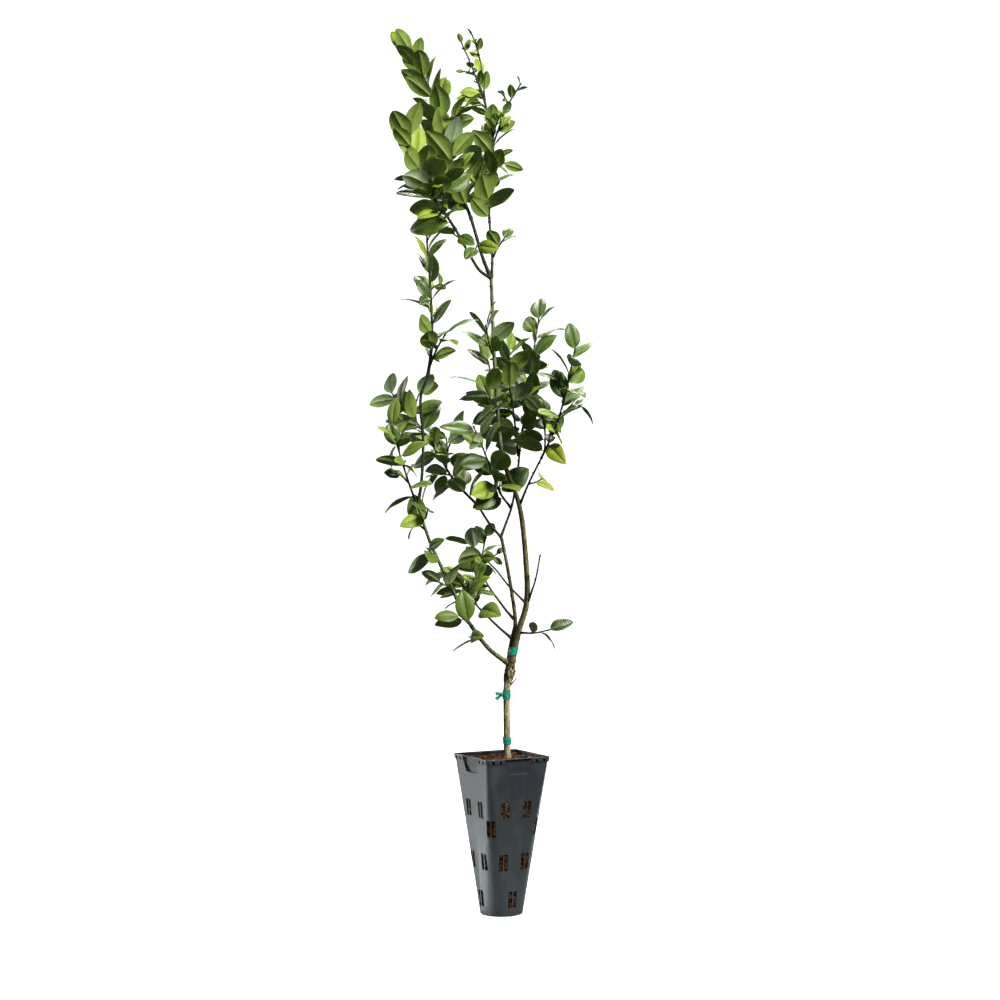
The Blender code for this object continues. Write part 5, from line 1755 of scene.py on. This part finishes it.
def add_light(name, place, size, power, color, target=(0.0, 0.0, 0.95)):
    """A square soft light that looks at the middle of the tree."""
    light = bpy.data.lights.new(name, "AREA")
    light.size = size
    light.energy = power
    light.color = color
    obj = bpy.data.objects.new(name, light)
    obj.location = place
    aim = Vector(target) - obj.location
    obj.rotation_euler = aim.to_track_quat("-Z", "Y").to_euler()
    bpy.context.scene.collection.objects.link(obj)
    return obj


def add_sheen(pot):
    """Low lights beside the pot, for the sheen along its sides. They fall on the pot alone."""
    receivers = bpy.data.collections.new("pot in the sheen")
    receivers.objects.link(pot)
    for name, place, size, power, aim_height, spread in SHEEN_LIGHTS:
        light = add_light(name, place, size, power, (0.96, 0.99, 1.0), (0.0, 0.0, aim_height))
        light.data.spread = math.radians(spread)
        light.light_linking.receiver_collection = receivers


def add_stage():
    """A white floor that curves up into a wall all round, wider than the camera's orbit."""
    profile = [(0.0, 0.0)]
    for step in range(COVE_STEPS + 1):
        angle = math.radians(90) * step / COVE_STEPS
        profile.append((STAGE_FLOOR + COVE * math.sin(angle), COVE * (1.0 - math.cos(angle))))
    profile.append((STAGE_FLOOR + COVE, STAGE_HEIGHT))
    points, faces = [], []
    for turn in range(STAGE_SIDES):
        angle = math.tau * turn / STAGE_SIDES
        points += [(reach * math.cos(angle), reach * math.sin(angle), height) for reach, height in profile]
    for turn in range(STAGE_SIDES):
        here = turn * len(profile)
        following = (turn + 1) % STAGE_SIDES * len(profile)
        for index in range(len(profile) - 1):
            faces.append((here + index, here + index + 1, following + index + 1, following + index))
    mesh = bpy.data.meshes.new("stage")
    mesh.from_pydata(points, [], faces)
    mesh.materials.append(stage_finish())
    mesh.shade_smooth()
    stage = bpy.data.objects.new("stage", mesh)
    stage.visible_diffuse = False
    stage.visible_glossy = False
    bpy.context.scene.collection.objects.link(stage)


def set_up_view():
    scene = bpy.context.scene
    camera_data = bpy.data.cameras.new("camera")
    camera_data.lens = LENS
    camera_data.sensor_width = SENSOR
    camera = bpy.data.objects.new("camera", camera_data)
    camera.location = CAMERA_PLACE
    camera.rotation_euler = (math.radians(90), 0.0, 0.0)
    scene.collection.objects.link(camera)
    scene.camera = camera
    world = bpy.data.worlds.new("room")
    world.use_nodes = True
    background = world.node_tree.nodes["Background"]
    background.inputs["Color"].default_value = (1.0, 1.0, 1.0, 1.0)
    background.inputs["Strength"].default_value = ROOM_GLOW
    scene.world = world
    scene.view_settings.view_transform = "Standard"
    add_light("key", (2.4, -2.9, 3.6), 1.2, 450.0, (1.0, 0.98, 0.93))
    add_light("side", (-3.0, -0.5, 0.8), 1.5, 8.0, (0.97, 0.99, 1.0))
    add_light("top", (0.2, 1.6, 3.6), 1.4, 110.0, (1.0, 1.0, 0.96))
    add_light("back", (-2.8, 2.4, 2.4), 1.6, 45.0, (0.97, 0.99, 1.0))


def main():
    set_up_view()
    add_stage()
    add_sheen(add_pot(
        pot_finish("pot_slate", (0.0170, 0.0205, 0.0270), (0.036, 0.046, 0.050), 0.50),
        # A near-black copy of the plastic, painted shade for the walls of the slots and pockets
        pot_finish("pot_cut_painted_shade", (0.002, 0.002, 0.0025), (0.003, 0.003, 0.004), 0.05),
        # A darker copy of the plastic, painted shade for the inside of the wall
        pot_finish("pot_inside_painted_shade", (0.005, 0.006, 0.009), (0.010, 0.012, 0.014), 0.15),
    ))
    add_mix([
        chip_finish("mix_dark", (0.004, 0.003, 0.002), (0.018, 0.010, 0.005)),
        chip_finish("chip_dark", (0.007, 0.004, 0.002), (0.026, 0.014, 0.007)),
        chip_finish("chip_brown", (0.030, 0.012, 0.004), (0.085, 0.036, 0.011)),
        chip_finish("chip_tan", (0.072, 0.031, 0.009), (0.160, 0.076, 0.024)),
        chip_finish("chip_red", (0.044, 0.014, 0.004), (0.120, 0.042, 0.012)),
    ])
    add_tapes(tape_finish())
    add_bark([
        # The trunk's painted shade reaches less far round from -X than that of the boughs and twigs
        bark_finish("bark_trunk", (0.19, 0.155, 0.078), (0.46, 0.41, 0.26), (0.080, 0.085, 0.030), 0.62,
                    (-0.75, -0.10)),
        bark_finish("bark_bough", (0.072, 0.064, 0.018), (0.205, 0.182, 0.056), (0.022, 0.019, 0.006), 0.58),
        # Young boughs: their own dark green, darkened near to black as painted shade
        bark_finish("bark_young_painted_shade", (0.007, 0.013, 0.004), (0.026, 0.038, 0.011), (0.004, 0.008, 0.003), 0.50),
        bark_finish("bark_knob", (0.050, 0.018, 0.008), (0.17, 0.080, 0.038), (0.016, 0.007, 0.004), 0.7),
        bark_finish("bark_pale", (0.090, 0.105, 0.042), (0.28, 0.31, 0.17), (0.040, 0.050, 0.018), 0.55),
        bark_finish("bark_green", (0.060, 0.070, 0.020), (0.17, 0.185, 0.065), (0.022, 0.030, 0.009), 0.55),
    ])
    axes, leaves = grow_tree()
    add_twigs(axes, leaves, [
        # The olive tone is dark green darkened near to black as painted shade
        bark_finish("twig_olive_painted_shade", (0.007, 0.014, 0.004), (0.026, 0.040, 0.011), (0.004, 0.009, 0.003), 0.5),
        bark_finish("twig_green", (0.018, 0.036, 0.008), (0.060, 0.095, 0.020), (0.010, 0.022, 0.005), 0.45),
        bark_finish("bud", (0.040, 0.052, 0.014), (0.100, 0.110, 0.030), (0.045, 0.024, 0.010), 0.5),
    ])
    add_leaves(leaves, [
        leaf_finish("leaf_shade", (0.011, 0.025, 0.008), (0.019, 0.038, 0.011), 0.33, 0.42),
        leaf_finish("leaf_deep", (0.025, 0.051, 0.010), (0.040, 0.073, 0.014), 0.35, 0.40),
        leaf_finish("leaf_green", (0.048, 0.092, 0.013), (0.071, 0.124, 0.019), 0.37, 0.38),
        leaf_finish("leaf_bright", (0.078, 0.136, 0.016), (0.110, 0.174, 0.023), 0.39, 0.34),
        leaf_finish("leaf_light", (0.120, 0.188, 0.021), (0.162, 0.232, 0.031), 0.41, 0.30),
        leaf_finish("leaf_young", (0.172, 0.248, 0.018), (0.238, 0.312, 0.030), 0.42, 0.25),
        leaf_finish("under_leaf", (0.118, 0.182, 0.030), (0.160, 0.228, 0.044), 0.47, 0.30),
        leaf_finish("under_green", (0.118, 0.178, 0.062), (0.158, 0.224, 0.082), 0.50, 0.34),
        # The grey and palest undersides: partly their own paler tone, partly painted sheen
        leaf_finish("under_grey_sheen", (0.152, 0.210, 0.118), (0.205, 0.268, 0.150), 0.50, 0.36),
        leaf_finish("under_pale_sheen", (0.225, 0.295, 0.165), (0.290, 0.362, 0.205), 0.50, 0.36),
        leaf_finish("leaf_rib", (0.140, 0.200, 0.035), (0.200, 0.255, 0.055), 0.45, 0.24),
    ])


main()
